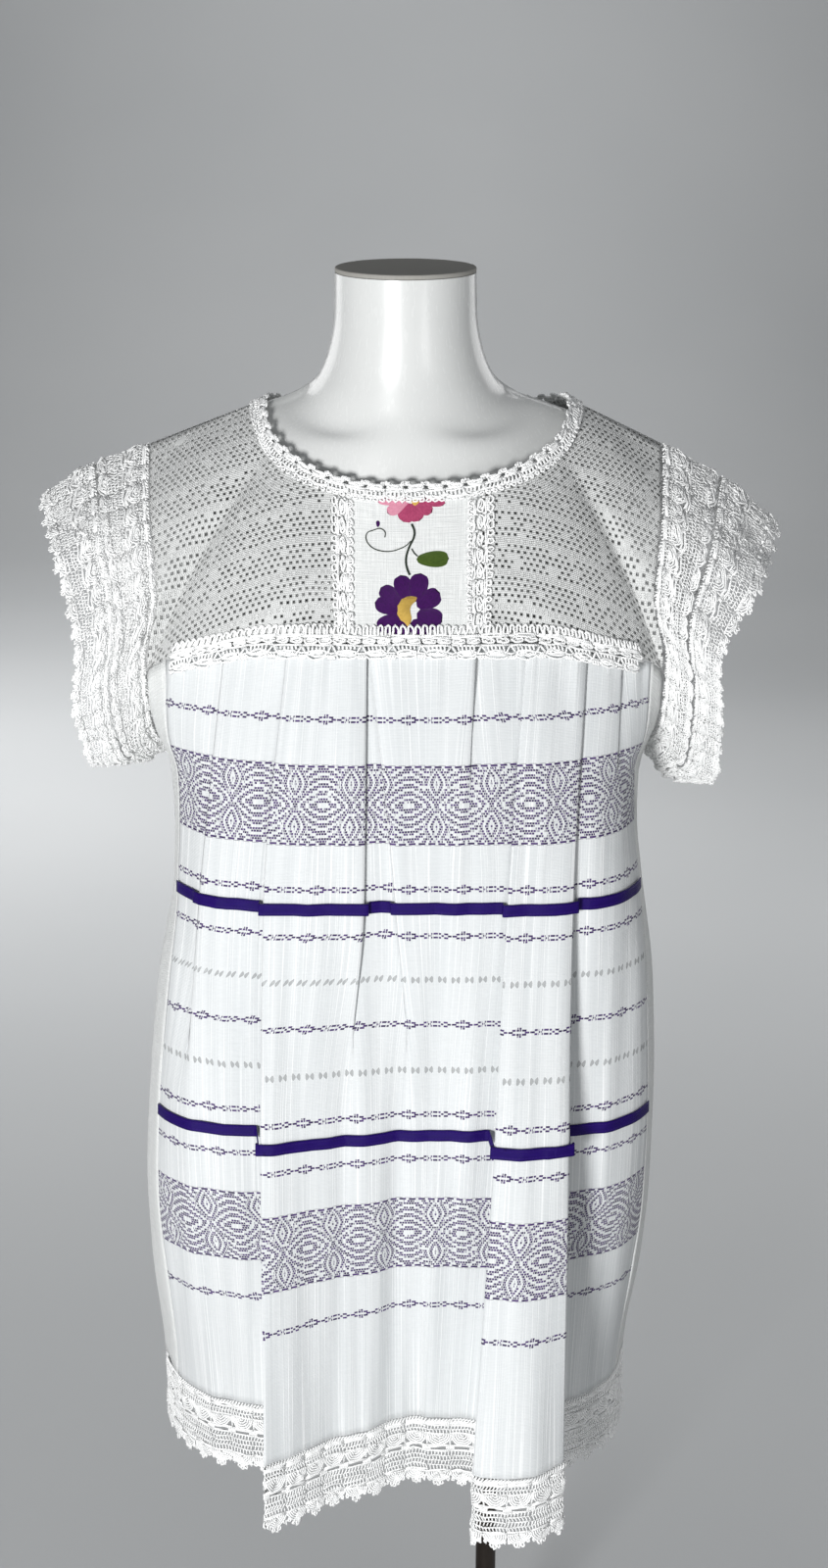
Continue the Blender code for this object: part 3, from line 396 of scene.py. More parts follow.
def cloth_line(z, folds, facing):
    """The pleated cloth along one height, from the left side seam to the right one."""
    line = []
    before = body_point(seam_angle(z, facing, False), z)
    after = body_point(seam_angle(z, facing, True), z)
    groups = [fold_corners(fold, z) for fold in folds]
    start = seam_angle(z, facing, False)
    first = angle_at_x(groups[0][0][0], z, facing)
    line.append(before)
    for share in EDGE_SHARES:
        line.append(body_point(mix(start, first, share), z, -groups[0][0][1] * share))
    for k, group in enumerate(groups):
        for corner in group:
            line.append(shaped_point(*corner, z, facing))
        if k + 1 < len(groups):
            line.extend(span_points(group[-1], groups[k + 1][0], folds[k], z, facing))
    stop = seam_angle(z, facing, True)
    final = angle_at_x(groups[-1][-1][0], z, facing)
    for share in EDGE_SHARES[::-1]:
        line.append(body_point(mix(stop, final, share), z, -groups[-1][-1][1] * share))
    line.append(after)
    return line


def box_crown(fold, z, facing):
    """How far the middle of the standing box bulges beyond its edges."""
    growth = smooth_value(column(FOLD_GROWTH, 0), column(FOLD_GROWTH, 1), z)
    return BOX_CROWN * growth if fold[0] == BOX_FOLD and facing < 0 else 0.0


def span_points(start, stop, fold, z, facing):
    """Two points between a fold and the next one, with a crown on the standing box."""
    points = []
    for share in SPAN_SHARES:
        x, depth, stand = (mix(start[k], stop[k], share) for k in range(3))
        crown = box_crown(fold, z, facing)
        points.append(shaped_point(x, depth, stand + crown, z, facing))
    return points


def neck_point(angle):
    """A point of the neckline."""
    x, y, _, depth, _ = oval(angle, *NECK_OVAL)
    middle_z = NECK_FRONT_Z if y < 0.0 else NECK_BACK_Z
    forward = abs(y) / depth
    return Vector((x, y, mix(NECK_SIDE_Z, middle_z, forward ** NECK_BEND)))


def ring_point(table, turn, right):
    """A point round an armhole or a sleeve's free edge: 0 is the shoulder, 90 the front."""
    turn = turn % 360.0
    back = turn > 180.0
    near = 360.0 - turn if back else turn
    turns = column(table, 0)
    x, y, z = (smooth_value(turns, column(table, k), near) for k in (1, 2, 3))
    return Vector((x if right else -x, y * ARMHOLE_BACK if back else -y, z))


def yoke_outer(share, right, facing, start_x):
    """The yoke's outer edge: along the seam to the corner, then up the armhole."""
    if share <= CORNER_SHARE:
        corner = 360.0 - CORNER_ANGLE if right else 180.0 + CORNER_ANGLE
        if facing > 0:
            corner = 360.0 - corner
        begin = angle_at_x(start_x, YOKE_SEAM_Z, facing)
        if right and facing < 0:
            begin = begin if begin > 180.0 else begin + 360.0
        angle = mix(begin, corner, share / CORNER_SHARE)
        return body_point(angle, top_height(angle) + SEAM_GAP)
    up = (share - CORNER_SHARE) / (1.0 - CORNER_SHARE)
    turn = mix(CORNER_TURN, 0.0, up)
    blend = max(0.0, 1.0 - up * CORNER_BLEND)
    point = ring_point(ARMHOLE, turn if facing < 0 else 360.0 - turn, right)
    corner = yoke_outer(CORNER_SHARE, right, facing, start_x)
    return point.lerp(corner, blend)


def yoke_point(share, down, right, facing, start_x, out=0.0):
    """The yoke between the neckline (down 0) and its outer edge (down 1)."""
    begin = oval_angle(start_x, facing, *NECK_OVAL)
    side = 360.0 if right else 180.0
    if facing > 0:
        side = 0.0 if right else 180.0
    inner = neck_point(mix(begin, side, share))
    outer = yoke_outer(share, right, facing, start_x)
    point = inner.lerp(outer, down)
    middle = (inner + outer) * 0.5
    rise = middle.z - YOKE_SEAM_Z
    swell = Vector((middle.x / SWELL_X, middle.y / SWELL_Y, rise / SWELL_Z)).normalized()
    amount = YOKE_SWELL * math.sin(math.pi * min(max(down, 0.0), 1.0))
    amount *= math.sin(math.pi * share) if 0.0 < share < 1.0 else 0.0
    point = point + swell * amount
    point.y += facing * yoke_crease(point.x, point.z)
    if share >= 1.0:
        point.y = facing * SHOULDER_GAP
    if out:
        point = point + yoke_normal(share, down, right, facing, start_x) * out
    return point


def yoke_normal(share, down, right, facing, start_x):
    """Which way is out of the yoke, from its slopes either way."""
    step = NORMAL_STEP
    low, high = max(share - step, 0.0), min(share + step, MOST_SHARE)
    top, bottom = min(max(down - step, 0.0), 0.9), min(max(down + step, 0.1), 1.0)
    across = (yoke_point(high, down, right, facing, start_x)
              - yoke_point(low, down, right, facing, start_x))
    along = (yoke_point(share, bottom, right, facing, start_x)
             - yoke_point(share, top, right, facing, start_x))
    normal = across.cross(along).normalized()
    outward = yoke_point(share, down, right, facing, start_x) - Vector(CHEST)
    return normal if normal.dot(outward) > 0.0 else -normal


def placket_point(share, down, out=0.0):
    x = mix(PLACKET_LEFT, PLACKET_RIGHT, share)
    inner = neck_point(oval_angle(x, -1, *NECK_OVAL))
    angle = angle_at_x(x, YOKE_SEAM_Z, -1)
    outer = body_point(angle, top_height(angle) + SEAM_GAP)
    point = inner.lerp(outer, down)
    slope = Vector((0.0, -(inner.z - outer.z), outer.y - inner.y)).normalized()
    return point + (slope if slope.y < 0.0 else -slope) * out


def cloth_at(start, stop, x):
    """Depth and stand of the cloth at x, between two corners of neighbouring folds."""
    share = (x - start[0]) / (stop[0] - start[0])
    return x, mix(start[1], stop[1], share), mix(start[2], stop[2], share)


def ribbon_line(z, folds, facing):
    """The pleats' outer line at one height, moved out, for a ribbon sewn over the folds."""
    ends = []
    for right in (False, True):
        place = body_point(seam_angle(z, facing, right), z)
        ends.append((place.x, 0.0, 0.0))
    groups = [fold_corners(fold, z) for fold in folds]
    bounds = [ends[:1]] + groups + [ends[1:]]
    chains = []
    for k, fold in enumerate(folds):
        before, after = bounds[k][-1], bounds[k + 2][0]
        chains.append(ribbon_corners(fold, groups[k], before, after, z))
    line = ribbon_edge(False, groups[0][0], chains[0][0], z, facing)
    for k, chain in enumerate(chains):
        line += [shaped_point(x, depth - RIBBON_OUT, stand, z, facing)
                 for x, depth, stand in chain]
        if k + 1 < len(chains):
            crown = box_crown(folds[k], z, facing)
            for share in SPAN_SHARES:
                x = mix(chain[-1][0], chains[k + 1][0][0], share)
                x, depth, stand = cloth_at(groups[k][-1], groups[k + 1][0], x)
                line.append(shaped_point(x, depth - RIBBON_OUT, stand + crown, z, facing))
    return line + ribbon_edge(True, groups[-1][-1], chains[-1][-1], z, facing)[::-1]


def ribbon_edge(right, corner, near, z, facing):
    """The ribbon from a side seam to the first fold, round the side of the body."""
    seam = seam_angle(z, facing, right)
    turn = turned(angle_at_x(corner[0], z, facing), seam)
    stop = turned(angle_at_x(near[0], z, facing), seam)
    line = [body_point(seam, z, RIBBON_OUT)]
    for share in EDGE_SHARES:
        depth = corner[1] * share * stop / turn
        line.append(body_point(seam + stop * share, z, RIBBON_OUT - depth))
    return line


def turned(angle, start):
    """The turn from one angle to another, the short way round."""
    return (angle - start + 180.0) % 360.0 - 180.0


def ribbon_corners(fold, corners, before, after, z):
    """A ribbon steps over a pressed fold's edge, and follows a standing or open one."""
    points, _, opened, _, _ = fold_state(fold, z)
    if opened > 0.5:
        return corners
    low, _, under, high = corners if points < 0 else corners[::-1]
    beside = before if points < 0 else after
    edge = (min if points < 0 else max)(under[0], high[0]) + points * RIBBON_OVER
    if high[2] - low[2] > STANDING:
        foot = low[0] + points * RIBBON_FOOT
        inner = cloth_at(beside, low, foot)
        rise = inner[2] + RIBBON_RISE
        chain = [inner, (foot, inner[1], rise), (edge, high[1], high[2] - RIBBON_OUT),
                 (edge, high[1], high[2])]
    else:
        inner = cloth_at(beside, low, edge)
        chain = [(edge, mix(inner[1], high[1], share), mix(inner[2], high[2], share))
                 for share in RIBBON_STEPS]
    return chain if points < 0 else chain[::-1]


def hem_line(folds, facing):
    """The hem's outline over one half of the body, side to side."""
    start, stop = (180.0, 360.0) if facing < 0 else (180.0, 0.0)
    first = seam_angle(HEM_Z, facing, False)
    last = seam_angle(HEM_Z, facing, True)
    nudge = -facing * HEM_GAP_ANGLE
    line = [body_point(mix(start, first, k / 3.0), HEM_Z) for k in range(3)]
    line[0] = body_point(start + nudge, HEM_Z)
    line += cloth_line(HEM_Z, folds, facing)
    line += [body_point(mix(last, stop, (k + 1) / 3.0), HEM_Z) for k in range(3)]
    line[-1] = body_point(stop - nudge, HEM_Z)
    return line


def sleeve_point(turn, across, right):
    """A point of a sleeve: across 0 is the armhole seam, 1 the free edge."""
    table = SLEEVE_EDGE_RIGHT if right else SLEEVE_EDGE_LEFT
    seam = ring_point(ARMHOLE, turn, right)
    edge = ring_point(table, turn, right)
    seam.x += SLEEVE_SEAM if right else -SLEEVE_SEAM
    centre = (seam + edge) * 0.5
    swell = Vector((0.0, centre.y, centre.z - SLEEVE_CENTRE_Z)).normalized()
    return seam.lerp(edge, across) + swell * SLEEVE_SWELL * math.sin(math.pi * across)


def form_point(ring, angle):
    """A point of the form on one of its rings."""
    side, side_z, front, front_z, back, back_z, square = ring
    x, y, _, depth, _ = oval(angle, (side, side), (front, back), (square, square))
    forward = (abs(y) / depth) ** FORM_BEND
    return Vector((x, y, mix(side_z, front_z if y < 0.0 else back_z, forward)))


# Finer cloth: rounded folds, ripples and gathers

FOLD_ROUND = 0.0075
RIBBON_ROUND = 0.0016
RIPPLES = (
    # height, wave length, lean, phase
    (0.00085, 0.0370, 9.0, 0.4),
    (0.00050, 0.0215, -13.0, 1.9),
)
RIPPLE_FROM, RIPPLE_FULL = 1.0, 0.88
GATHER, GATHER_WAVE, GATHER_SWELL, GATHER_END = 0.0022, 0.0148, 0.0470, 0.940
PANEL_ROWS = 96
PANEL_LINES = 70
SIDE_ROWS, SIDE_STEPS = 70, 28
SIDE_RIPPLE, SIDE_WAVES, SIDE_LEAN = 0.0016, 19.0, 4.0
RIBBON_STEP = 0.004
TINY = 1e-9

# Where the woven motif has its middle
MOTIF_X = 0.0023

# Soft slanting creases in the net, and how its rows run: along a slope, sagging to the sides
YOKE_CREASES = (
    # height at the middle, rise to the side, reach, forward
    (1.100, -0.55, 0.014, 0.0022),
    (1.075, -0.55, 0.012, -0.0016),
    (1.135, -0.20, 0.012, 0.0012),
)
YOKE_STEPS, YOKE_LINES = 45, 26
NET_BEND, NET_LEVEL = 1.3, 0.045
NET_UP, NET_BACK = 0.8, 0.6
CREASE_FROM, CREASE_FULL = 0.04, 0.09


def rounded(line, radius):
    """The same line with three points for each corner, so that folds are round."""
    points = [line[0]]
    for before, corner, after in zip(line, line[1:], line[2:]):
        back = before - corner
        ahead = after - corner
        start = corner + back * min(radius / max(back.length, TINY), 0.45)
        stop = corner + ahead * min(radius / max(ahead.length, TINY), 0.45)
        points.append(start)
        points.append((start + stop + corner * 2.0) / 4.0)
        points.append(stop)
    points.append(line[-1])
    return points


def ease(value, start, stop):
    """0 at start to 1 at stop, eased."""
    share = min(max((value - start) / (stop - start), 0.0), 1.0)
    return share * share * (3.0 - 2.0 * share)


def ripple(x, z):
    """How far the cloth stands forward of its plain shape."""
    grown = ease(z, RIPPLE_FROM, RIPPLE_FULL)
    total = 0.0
    for height, wave, lean, phase in RIPPLES:
        total += grown * height * math.sin(2.0 * math.pi * x / wave + lean * z + phase)
    gather = GATHER * ease(z, GATHER_END, YOKE_SEAM_Z) * math.sin(2.0 * math.pi * x / GATHER_SWELL)
    return total + gather * math.sin(2.0 * math.pi * x / GATHER_WAVE)


def draped(line, facing):
    """The same line with the cloth's ripples, moved forward in place."""
    for point in line:
        point.y += facing * ripple(point.x, point.z)
    return line


def over_cloth(line, cloth, steps, facing):
    """A ribbon's line with more points, each kept in front of the cloth's outermost face."""
    places = array([cloth])[0]
    start, stop = places[:-1], places[1:]
    kept = []
    for before, after, count in zip(line, line[1:], steps):
        kept += [before.lerp(after, k / count) for k in range(count)]
    kept.append(line[-1])
    for point in kept:
        for x in (point.x - RIBBON_ROUND, point.x, point.x + RIBBON_ROUND):
            span = np.where(abs(stop[:, 0] - start[:, 0]) < TINY, TINY, stop[:, 0] - start[:, 0])
            share = (x - start[:, 0]) / span
            met = (share >= 0.0) & (share <= 1.0)
            if met.any():
                y = (start[:, 1] + (stop[:, 1] - start[:, 1]) * share)[met]
                point.y = facing * max(facing * point.y, (facing * y).max() + RIBBON_OUT)
    return kept


def array(rows):
    """Rows of points as one array: rows, columns, axes."""
    return np.array([[tuple(point) for point in row] for row in rows])


def lengths_along(points):
    """Metres from the start of a line to each of its points."""
    steps = np.linalg.norm(np.diff(points, axis=0), axis=1)
    return np.concatenate([[0.0], np.cumsum(steps)])


def panel_grid(folds, facing):
    """A pleated panel's points, where its warp lies flat, and where each row is woven."""
    heights = np.linspace(TOP_EDGE[-1][1], HEM_Z, PANEL_LINES)
    lines = []
    for z in heights:
        lines.append(draped(rounded(cloth_line(float(z), folds, facing), FOLD_ROUND), facing))
    lines = array(lines)
    tops = []
    for k, point in enumerate(lines[0]):
        angle = math.degrees(math.atan2(point[1], point[0]))
        if k == 0 or k == len(lines[0]) - 1:
            angle = seam_angle(SIDE_SEAMS[0][0], facing, k > 0)
        tops.append(top_height(angle))
    tops = np.array(tops)
    shares = np.linspace(0.0, 1.0, PANEL_ROWS)[:, None]
    z = tops[None, :] + (HEM_Z - tops[None, :]) * shares
    grid = np.empty((PANEL_ROWS, len(tops), 3))
    grid[:, :, 2] = z
    for k in range(len(tops)):
        for axis in (0, 1):
            grid[:, k, axis] = np.interp(-z[:, k], -heights, lines[:, k, axis])
    woven = np.empty((PANEL_ROWS, len(tops), 2))
    for row in range(PANEL_ROWS):
        along = lengths_along(grid[row])
        woven[row, :, 0] = along - np.interp(MOTIF_X, grid[row, :, 0], along)
    woven[:, :, 1] = z
    flat = woven.copy()
    flat[:, :, 0] = woven[:, :, 0].mean(axis=0)
    return grid, flat, woven


def side_rows(right):
    """Points of a plain side panel, from its front seam round to its back seam."""
    rows = []
    for share_down in np.linspace(0.0, 1.0, SIDE_ROWS):
        row = []
        for share in np.linspace(0.0, 1.0, SIDE_STEPS):
            top = top_height(mix(side_seam(SIDE_SEAMS[0][0], -1, right), -BACK_SEAM, share))
            z = mix(top, HEM_Z, share_down)
            front = side_seam(z, -1, right) - SIDE_GAP_ANGLE
            angle = mix(front, SIDE_GAP_ANGLE - BACK_SEAM, share)
            swell = SIDE_RIPPLE * math.sin(math.pi * share)
            swell *= math.sin(SIDE_WAVES * share + SIDE_LEAN * z)
            row.append(body_point(360.0 - angle if right else 180.0 + angle, z, swell))
        rows.append(row if right else row[::-1])
    return rows


def flat_of(grid):
    """A grid's flat place from its own lengths along the middle row and column."""
    grid = np.asarray(grid)
    rows, columns = grid.shape[:2]
    along = lengths_along(grid[rows // 2])
    down = lengths_along(grid[:, columns // 2])
    flat = np.empty((rows, columns, 2))
    flat[:, :, 0] = along[None, :]
    flat[:, :, 1] = -down[:, None]
    return flat


def yoke_crease(x, z):
    """Soft slanting creases in the net, forward of its plain shape."""
    total = 0.0
    for middle, rise, reach, height in YOKE_CREASES:
        offset = (z - middle) - rise * abs(x)
        near = math.exp(-(offset / reach) ** 2)
        total += height * near * ease(abs(x), CREASE_FROM, CREASE_FULL)
    return total


def net_place(point, facing):
    """Where a point of the yoke lies in the net's rows, which sag towards the armholes."""
    slope = NET_UP * point.z - facing * NET_BACK * point.y
    return point.x, slope + NET_BEND * max(abs(point.x) - NET_LEVEL, 0.0) ** 2


def yoke_part(right, facing, start_x):
    """One part of the yoke's net: its points, and where each lies in the net's rows."""
    shares = [float(share) for share in np.linspace(0.0, 1.0, YOKE_STEPS)]
    rows = [[yoke_point(share, float(down), right, facing, start_x) for share in shares]
            for down in np.linspace(0.0, 1.0, YOKE_LINES)]
    return rows, [[net_place(point, facing) for point in row] for row in rows]


def back_yoke():
    left, left_flat = yoke_part(False, 1, -BACK_MIDDLE)
    right, right_flat = yoke_part(True, 1, BACK_MIDDLE)
    rows = [a[::-1] + b[1:] for a, b in zip(left, right)]
    flats = [a[::-1] + b[1:] for a, b in zip(left_flat, right_flat)]
    for row in rows:
        row[YOKE_STEPS - 1].x = 0.0
    return rows, flats


# Surfaces that thread is laid on

class Surface:
    """A dense grid that thread is laid on, by metres along it and share across it."""

    def __init__(self, rows, centre, closed=False):
        points = array(rows)
        if closed:
            points = np.concatenate([points, points[:, :1]], axis=1)
        self.points = points
        self.closed = closed
        self.along = lengths_along(points[len(points) // 2])
        self.length = self.along[-1]
        normals = np.cross(np.gradient(points, axis=1), np.gradient(points, axis=0))
        normals = unit(normals)
        if (normals * (points - np.array(centre))).sum() < 0.0:
            normals = -normals
        self.normals = normals

    def place(self, along, share, out):
        """Points and outward directions at many places at once."""
        if self.closed:
            along = along % self.length
        column = np.interp(along, self.along, np.arange(len(self.along)))
        row = np.clip(share, 0.0, 1.0) * (len(self.points) - 1)
        low_row = np.minimum(row.astype(int), len(self.points) - 2)
        low_column = np.minimum(column.astype(int), len(self.along) - 2)
        down = (row - low_row)[..., None]
        over = (column - low_column)[..., None]
        found = []
        for field in (self.points, self.normals):
            top = field[low_row, low_column] * (1.0 - over) + field[low_row, low_column + 1] * over
            base = (field[low_row + 1, low_column] * (1.0 - over)
                    + field[low_row + 1, low_column + 1] * over)
            found.append(top * (1.0 - down) + base * down)
        normals = unit(found[1])
        return found[0] + normals * np.asarray(out)[..., None], normals


def unit(vectors):
    size = np.linalg.norm(vectors, axis=-1, keepdims=True)
    return vectors / np.maximum(size, TINY)


def spread(surface, thread, wide, depth, lift):
    """One thread of a motif, laid in every repeat along a surface."""
    path, radius, closed, proud = thread
    path = np.array(path)
    repeats = max(round(surface.length * 1000.0 / wide), 1)
    places = (np.arange(repeats)[:, None] + path[None, :, 0] / wide) / repeats
    share = np.broadcast_to(path[None, :, 1] / depth, places.shape)
    shaken = np.random.default_rng(len(path) + int(100.0 * path[0, 1]))
    wobble = shaken.normal(0.0, WOBBLE, (3,) + places.shape)
    out = lift + proud / 1000.0 + wobble[2]
    along = places * surface.length + wobble[0]
    points, normals = surface.place(along, share + wobble[1] * 1000.0 / depth, out)
    return points, normals, radius, closed


def tubes(points, normals, radius, closed):
    """Four-sided tubes along many like paths: corners, faces and each face's flat places."""
    if closed:
        ahead = np.roll(points, -1, axis=1) - np.roll(points, 1, axis=1)
    else:
        ahead = np.gradient(points, axis=1)
    ahead = unit(ahead)
    beside = unit(np.cross(ahead, normals))
    upward = np.cross(beside, ahead)
    turns = 2.0 * math.pi * (np.arange(SIDES) + 0.5) / SIDES
    ring = (beside[:, :, None, :] * np.cos(turns)[None, None, :, None]
            + upward[:, :, None, :] * np.sin(turns)[None, None, :, None])
    corners = points[:, :, None, :] + radius * ring
    paths, stops = points.shape[:2]
    spans = stops if closed else stops - 1
    path, stop, side = np.meshgrid(np.arange(paths), np.arange(spans), np.arange(SIDES),
                                   indexing="ij")
    following = (stop + 1) % stops
    beyond = (side + 1) % SIDES
    base = path * stops * SIDES
    faces = np.stack([base + stop * SIDES + side, base + stop * SIDES + beyond,
                      base + following * SIDES + beyond, base + following * SIDES + side],
                     axis=-1).reshape(-1, 4)
    steps = np.linalg.norm(np.diff(points, axis=1), axis=2)
    run = np.concatenate([np.zeros((paths, 1)), np.cumsum(steps, axis=1)], axis=1)
    run = np.concatenate([run, run[:, -1:]], axis=1)
    start, end = run[path, stop], run[path, stop + 1]
    low, high = side / SIDES, (side + 1) / SIDES
    flats = np.stack([np.stack([start, low], -1), np.stack([start, high], -1),
                      np.stack([end, high], -1), np.stack([end, low], -1)], axis=-2)
    flats = flats.reshape(-1, 4, 2)
    if not closed:
        ends = np.arange(paths)[:, None] * stops * SIDES
        first = ends + np.arange(SIDES)[None, ::-1]
        last = ends + (stops - 1) * SIDES + np.arange(SIDES)[None, :]
        faces = np.concatenate([faces, first, last])
        flats = np.concatenate([flats, np.zeros((2 * paths, 4, 2))])
    return corners.reshape(-1, 3), faces, flats


# Thread motifs: paths in millimetres, along and down, a radius in metres, whether the path
# closes, and how far it stands proud in millimetres

LACE_WIDE, LACE_DEPTH = 19.0, 64.0
CORD, FINE = 0.00092, 0.00066
HEADING, FIRST_NET, FANS, SLOTS, LAST_NET, SCALLOPS = 3.8, 7.0, 14.0, 25.8, 29.6, 47.6
NECK_WIDE, NECK_DEPTH = 15.0, 19.5
SEAM_WIDE, SEAM_DEPTH = 22.0, 27.5
SIDE_TRIM_WIDE, SIDE_TRIM_DEPTH = 13.0, 20.0
FAN_ARCS = ((9.0, 10.8), (7.4, 8.8), (5.6, 6.7), (3.7, 4.4), (1.8, 2.2))
FAN_BARS = ((0.0, 10.5), (1.3, 6.5), (-1.3, 6.5))
SCALLOP_ARCS = ((9.1, 8.2), (7.4, 6.6), (5.5, 5.0), (3.6, 3.4), (1.8, 1.9))
PICOTS = ((-7.4, 55.2), (-2.6, 58.8), (0.0, 60.2), (2.6, 58.8), (7.4, 55.2))

# How far each thread wanders in metres, how the sleeve's rows wave, how much thinner its
# thread is, and how many sides a thread has
WOBBLE = 0.00042
WAVE, SLEEVE_THREAD = 0.9, 0.84
SIDES = 4


def arc(centre_x, centre_y, reach_x, reach_y, start, stop, steps):
    turns = [math.radians(mix(start, stop, k / steps)) for k in range(steps + 1)]
    return [(centre_x + reach_x * math.cos(t), centre_y + reach_y * math.sin(t)) for t in turns]


def laid(paths, radius=CORD, closed=False, proud=0.3):
    """Threads of one kind, from their paths."""
    return [(path, radius, closed, proud) for path in paths]


def straight(repeat, y, steps=3):
    return [(repeat * k / steps, y) for k in range(steps + 1)]


def loop(centre_x, centre_y, reach_x, reach_y, steps=8):
    return arc(centre_x, centre_y, reach_x, reach_y, 0.0, 360.0 * (steps - 1) / steps, steps - 1)


def eyelet(x, y, outer, inner):
    """A long oval with a finer one inside it."""
    return laid([loop(x, y, *outer, 12)], 1.15 * CORD, True) + laid([loop(x, y, *inner, 8)],
                                                                    FINE, True)


def net_rows(wide, top, bottom, rows, columns):
    """Rows of slanting holes: level threads and leaning ones between them."""
    threads = []
    pitch = (bottom - top) / rows
    for row in range(rows):
        y = top + pitch * row
        lean = 0.5 if row % 2 else -0.5
        threads.append((straight(wide, y), FINE, False, 0.0))
        for k in range(columns):
            x = wide * (k + 0.5 * (row % 2) + 0.25) / columns
            threads.append(([(x - lean, y), (x + lean, y + pitch)], FINE, False, 0.2))
    return threads


def smiles(middle, top, sizes, out):
    """Bundled arcs that hang from a level thread, the outer ones standing proud."""
    return laid([arc(middle, top, reach, drop, 0.0, 180.0, 10) for reach, drop in sizes],
                proud=out)


def lace_motif(picots):
    """One repeat of the wide lace: heading, net, fans, slots, net and scallops."""
    wide = LACE_WIDE
    middle = wide / 2.0
    hooks = []
    for k in range(7):
        x = wide * k / 7.0
        hooks.append([(x, HEADING), (x + 1.0, 2.6), (x + 2.8, 0.2)])
    threads = laid(hooks, proud=0.6)
    threads += laid([straight(wide, y) for y in (HEADING, 5.0, 6.2)], 1.1 * CORD)
    threads += net_rows(wide, FIRST_NET, FANS, 2, 7)
    threads += laid([straight(wide, FANS)], proud=0.4)
    threads += smiles(middle, FANS, FAN_ARCS, 1.1)
    threads += laid([[(x, FANS), (x, FANS + drop)] for x, drop in FAN_BARS], proud=0.0)
    threads += laid([straight(wide, y) for y in (SLOTS - 1.0, SLOTS + 0.2, LAST_NET)])
    threads += laid([[(1.4 * k, SLOTS), (1.4 * k, LAST_NET)] for k in range(-2, 3)])
    threads += net_rows(wide, LAST_NET + 0.8, SCALLOPS, 4, 7)
    threads += laid([straight(wide, y) for y in (SCALLOPS, SCALLOPS + 1.3)], proud=0.4)
    threads += smiles(middle, SCALLOPS + 1.3, SCALLOP_ARCS, 1.3)
    if picots:
        threads += laid([loop(middle + x, y, 1.15, 2.1, 6) for x, y in PICOTS], CORD, True, 0.9)
    return threads


def undulating(threads):
    """The same motif with its rows waving gently, as the sleeve's crochet does."""
    waved = []
    for path, radius, closed, proud in threads:
        points = []
        for x, y in path:
            turn = 2.0 * math.pi * x / LACE_WIDE
            points.append((x, y + WAVE * math.sin(turn + y / 7.0) + WAVE * math.sin(2.0 * turn)))
        waved.append((points, SLEEVE_THREAD * radius, closed, proud))
    return waved


def neck_motif():
    """The neck edging: picots towards the neck, long ovals, a row of bars and loops."""
    wide = NECK_WIDE
    middle = wide / 2.0
    threads = laid([loop(x, 1.3 + 0.22 * abs(x), 0.95, 1.35, 7) for x in (-2.1, 0.0, 2.1)],
                   closed=True)
    threads += eyelet(middle, 5.0, (5.4, 1.7), (3.6, 0.5))
    threads += laid([straight(wide, y) for y in (3.2, 7.6, 9.0)])
    bars = []
    for k in range(5):
        x = wide * (k + 0.5) / 5.0
        lean = 0.25 * (x - wide / 2.0)
        bars.append([(x, 8.8), (x + 0.4 * lean, 13.6)])
    threads += laid(bars, 1.1 * CORD)
    threads += laid([arc(middle, 11.4, 7.5, 2.6, 0.0, 180.0, 8),
                     arc(middle, 12.6, 7.5, 3.0, 0.0, 180.0, 8)])
    threads += laid([loop(wide * (k + 0.5) / 3.0, 16.6, 1.7, 1.5, 8) for k in range(3)],
                    closed=True)
    return threads


def seam_motif():
    """The trim over the yoke's seam: upright loops, long ovals, fans and low bars."""
    wide = SEAM_WIDE
    middle = wide / 2.0
    uprights = []
    for k in range(4):
        x = wide * (k + 0.5) / 4.0
        path = [(x - 2.1, 7.6), (x - 1.7, 3.8)] + arc(x, 2.4, 1.6, 1.7, 180.0, 360.0, 5)
        uprights.append(path + [(x + 1.7, 3.8), (x + 2.1, 7.6)])
    threads = laid(uprights, 1.2 * CORD)
    threads += laid([straight(wide, y) for y in (7.8, 9.3, 14.9)], 1.15 * CORD)
    for centre in (wide * 0.25, wide * 0.75):
        threads += eyelet(centre, 12.1, (4.8, 1.6), (3.1, 0.45))
    threads += laid([[(0.0, 15.2), (lean, 20.6)] for lean in (-3.6, 3.6)])
    threads += laid([[(-3.6, 20.4), (0.0, 20.9), (3.6, 20.4)]])
    bars = []
    for k in range(5):
        x = 5.2 + 2.9 * k
        bars.append([(x, 15.0), (x, 18.6)])
    threads += laid(bars)
    threads += laid([loop(middle, 20.6, 7.2, 2.0, 14)], 1.2 * CORD, True)
    threads += laid([loop(middle, 20.6, 5.2, 0.7, 10)], closed=True)
    threads += laid([arc(middle, 21.4, 8.2, 3.6, 15.0, 165.0, 9)])
    threads += laid([loop(x, 23.4, 0.9, 1.3, 7) for x in (-2.0, 0.0, 2.0)], closed=True)
    return threads


def side_trim_motif():
    """The trim down each edge of the placket: small loops, ovals, then loops again."""
    wide = SIDE_TRIM_WIDE
    threads = []
    for k in range(2):
        x = wide * (k + 0.5) / 2.0
        threads += laid([arc(x, 3.6, 2.5, 2.9, 180.0, 360.0, 7)], 1.15 * CORD)
        threads += laid([arc(x, 4.0, 1.2, 1.5, 180.0, 360.0, 5)], FINE)
        threads += laid([loop(x, 16.6, 2.4, 1.9, 8)], closed=True)
    threads += laid([straight(wide, y) for y in (4.4, 5.8, 13.0, 14.3)])
    threads += eyelet(wide / 2.0, 9.4, (5.3, 1.9), (3.4, 0.6))
    threads += laid([[(0.0, y), (0.0, y * 0.5 + 4.7)] for y in (6.0, 12.8)])
    return threads


# Materials: a small wrapper so that shader sums read as plain sums

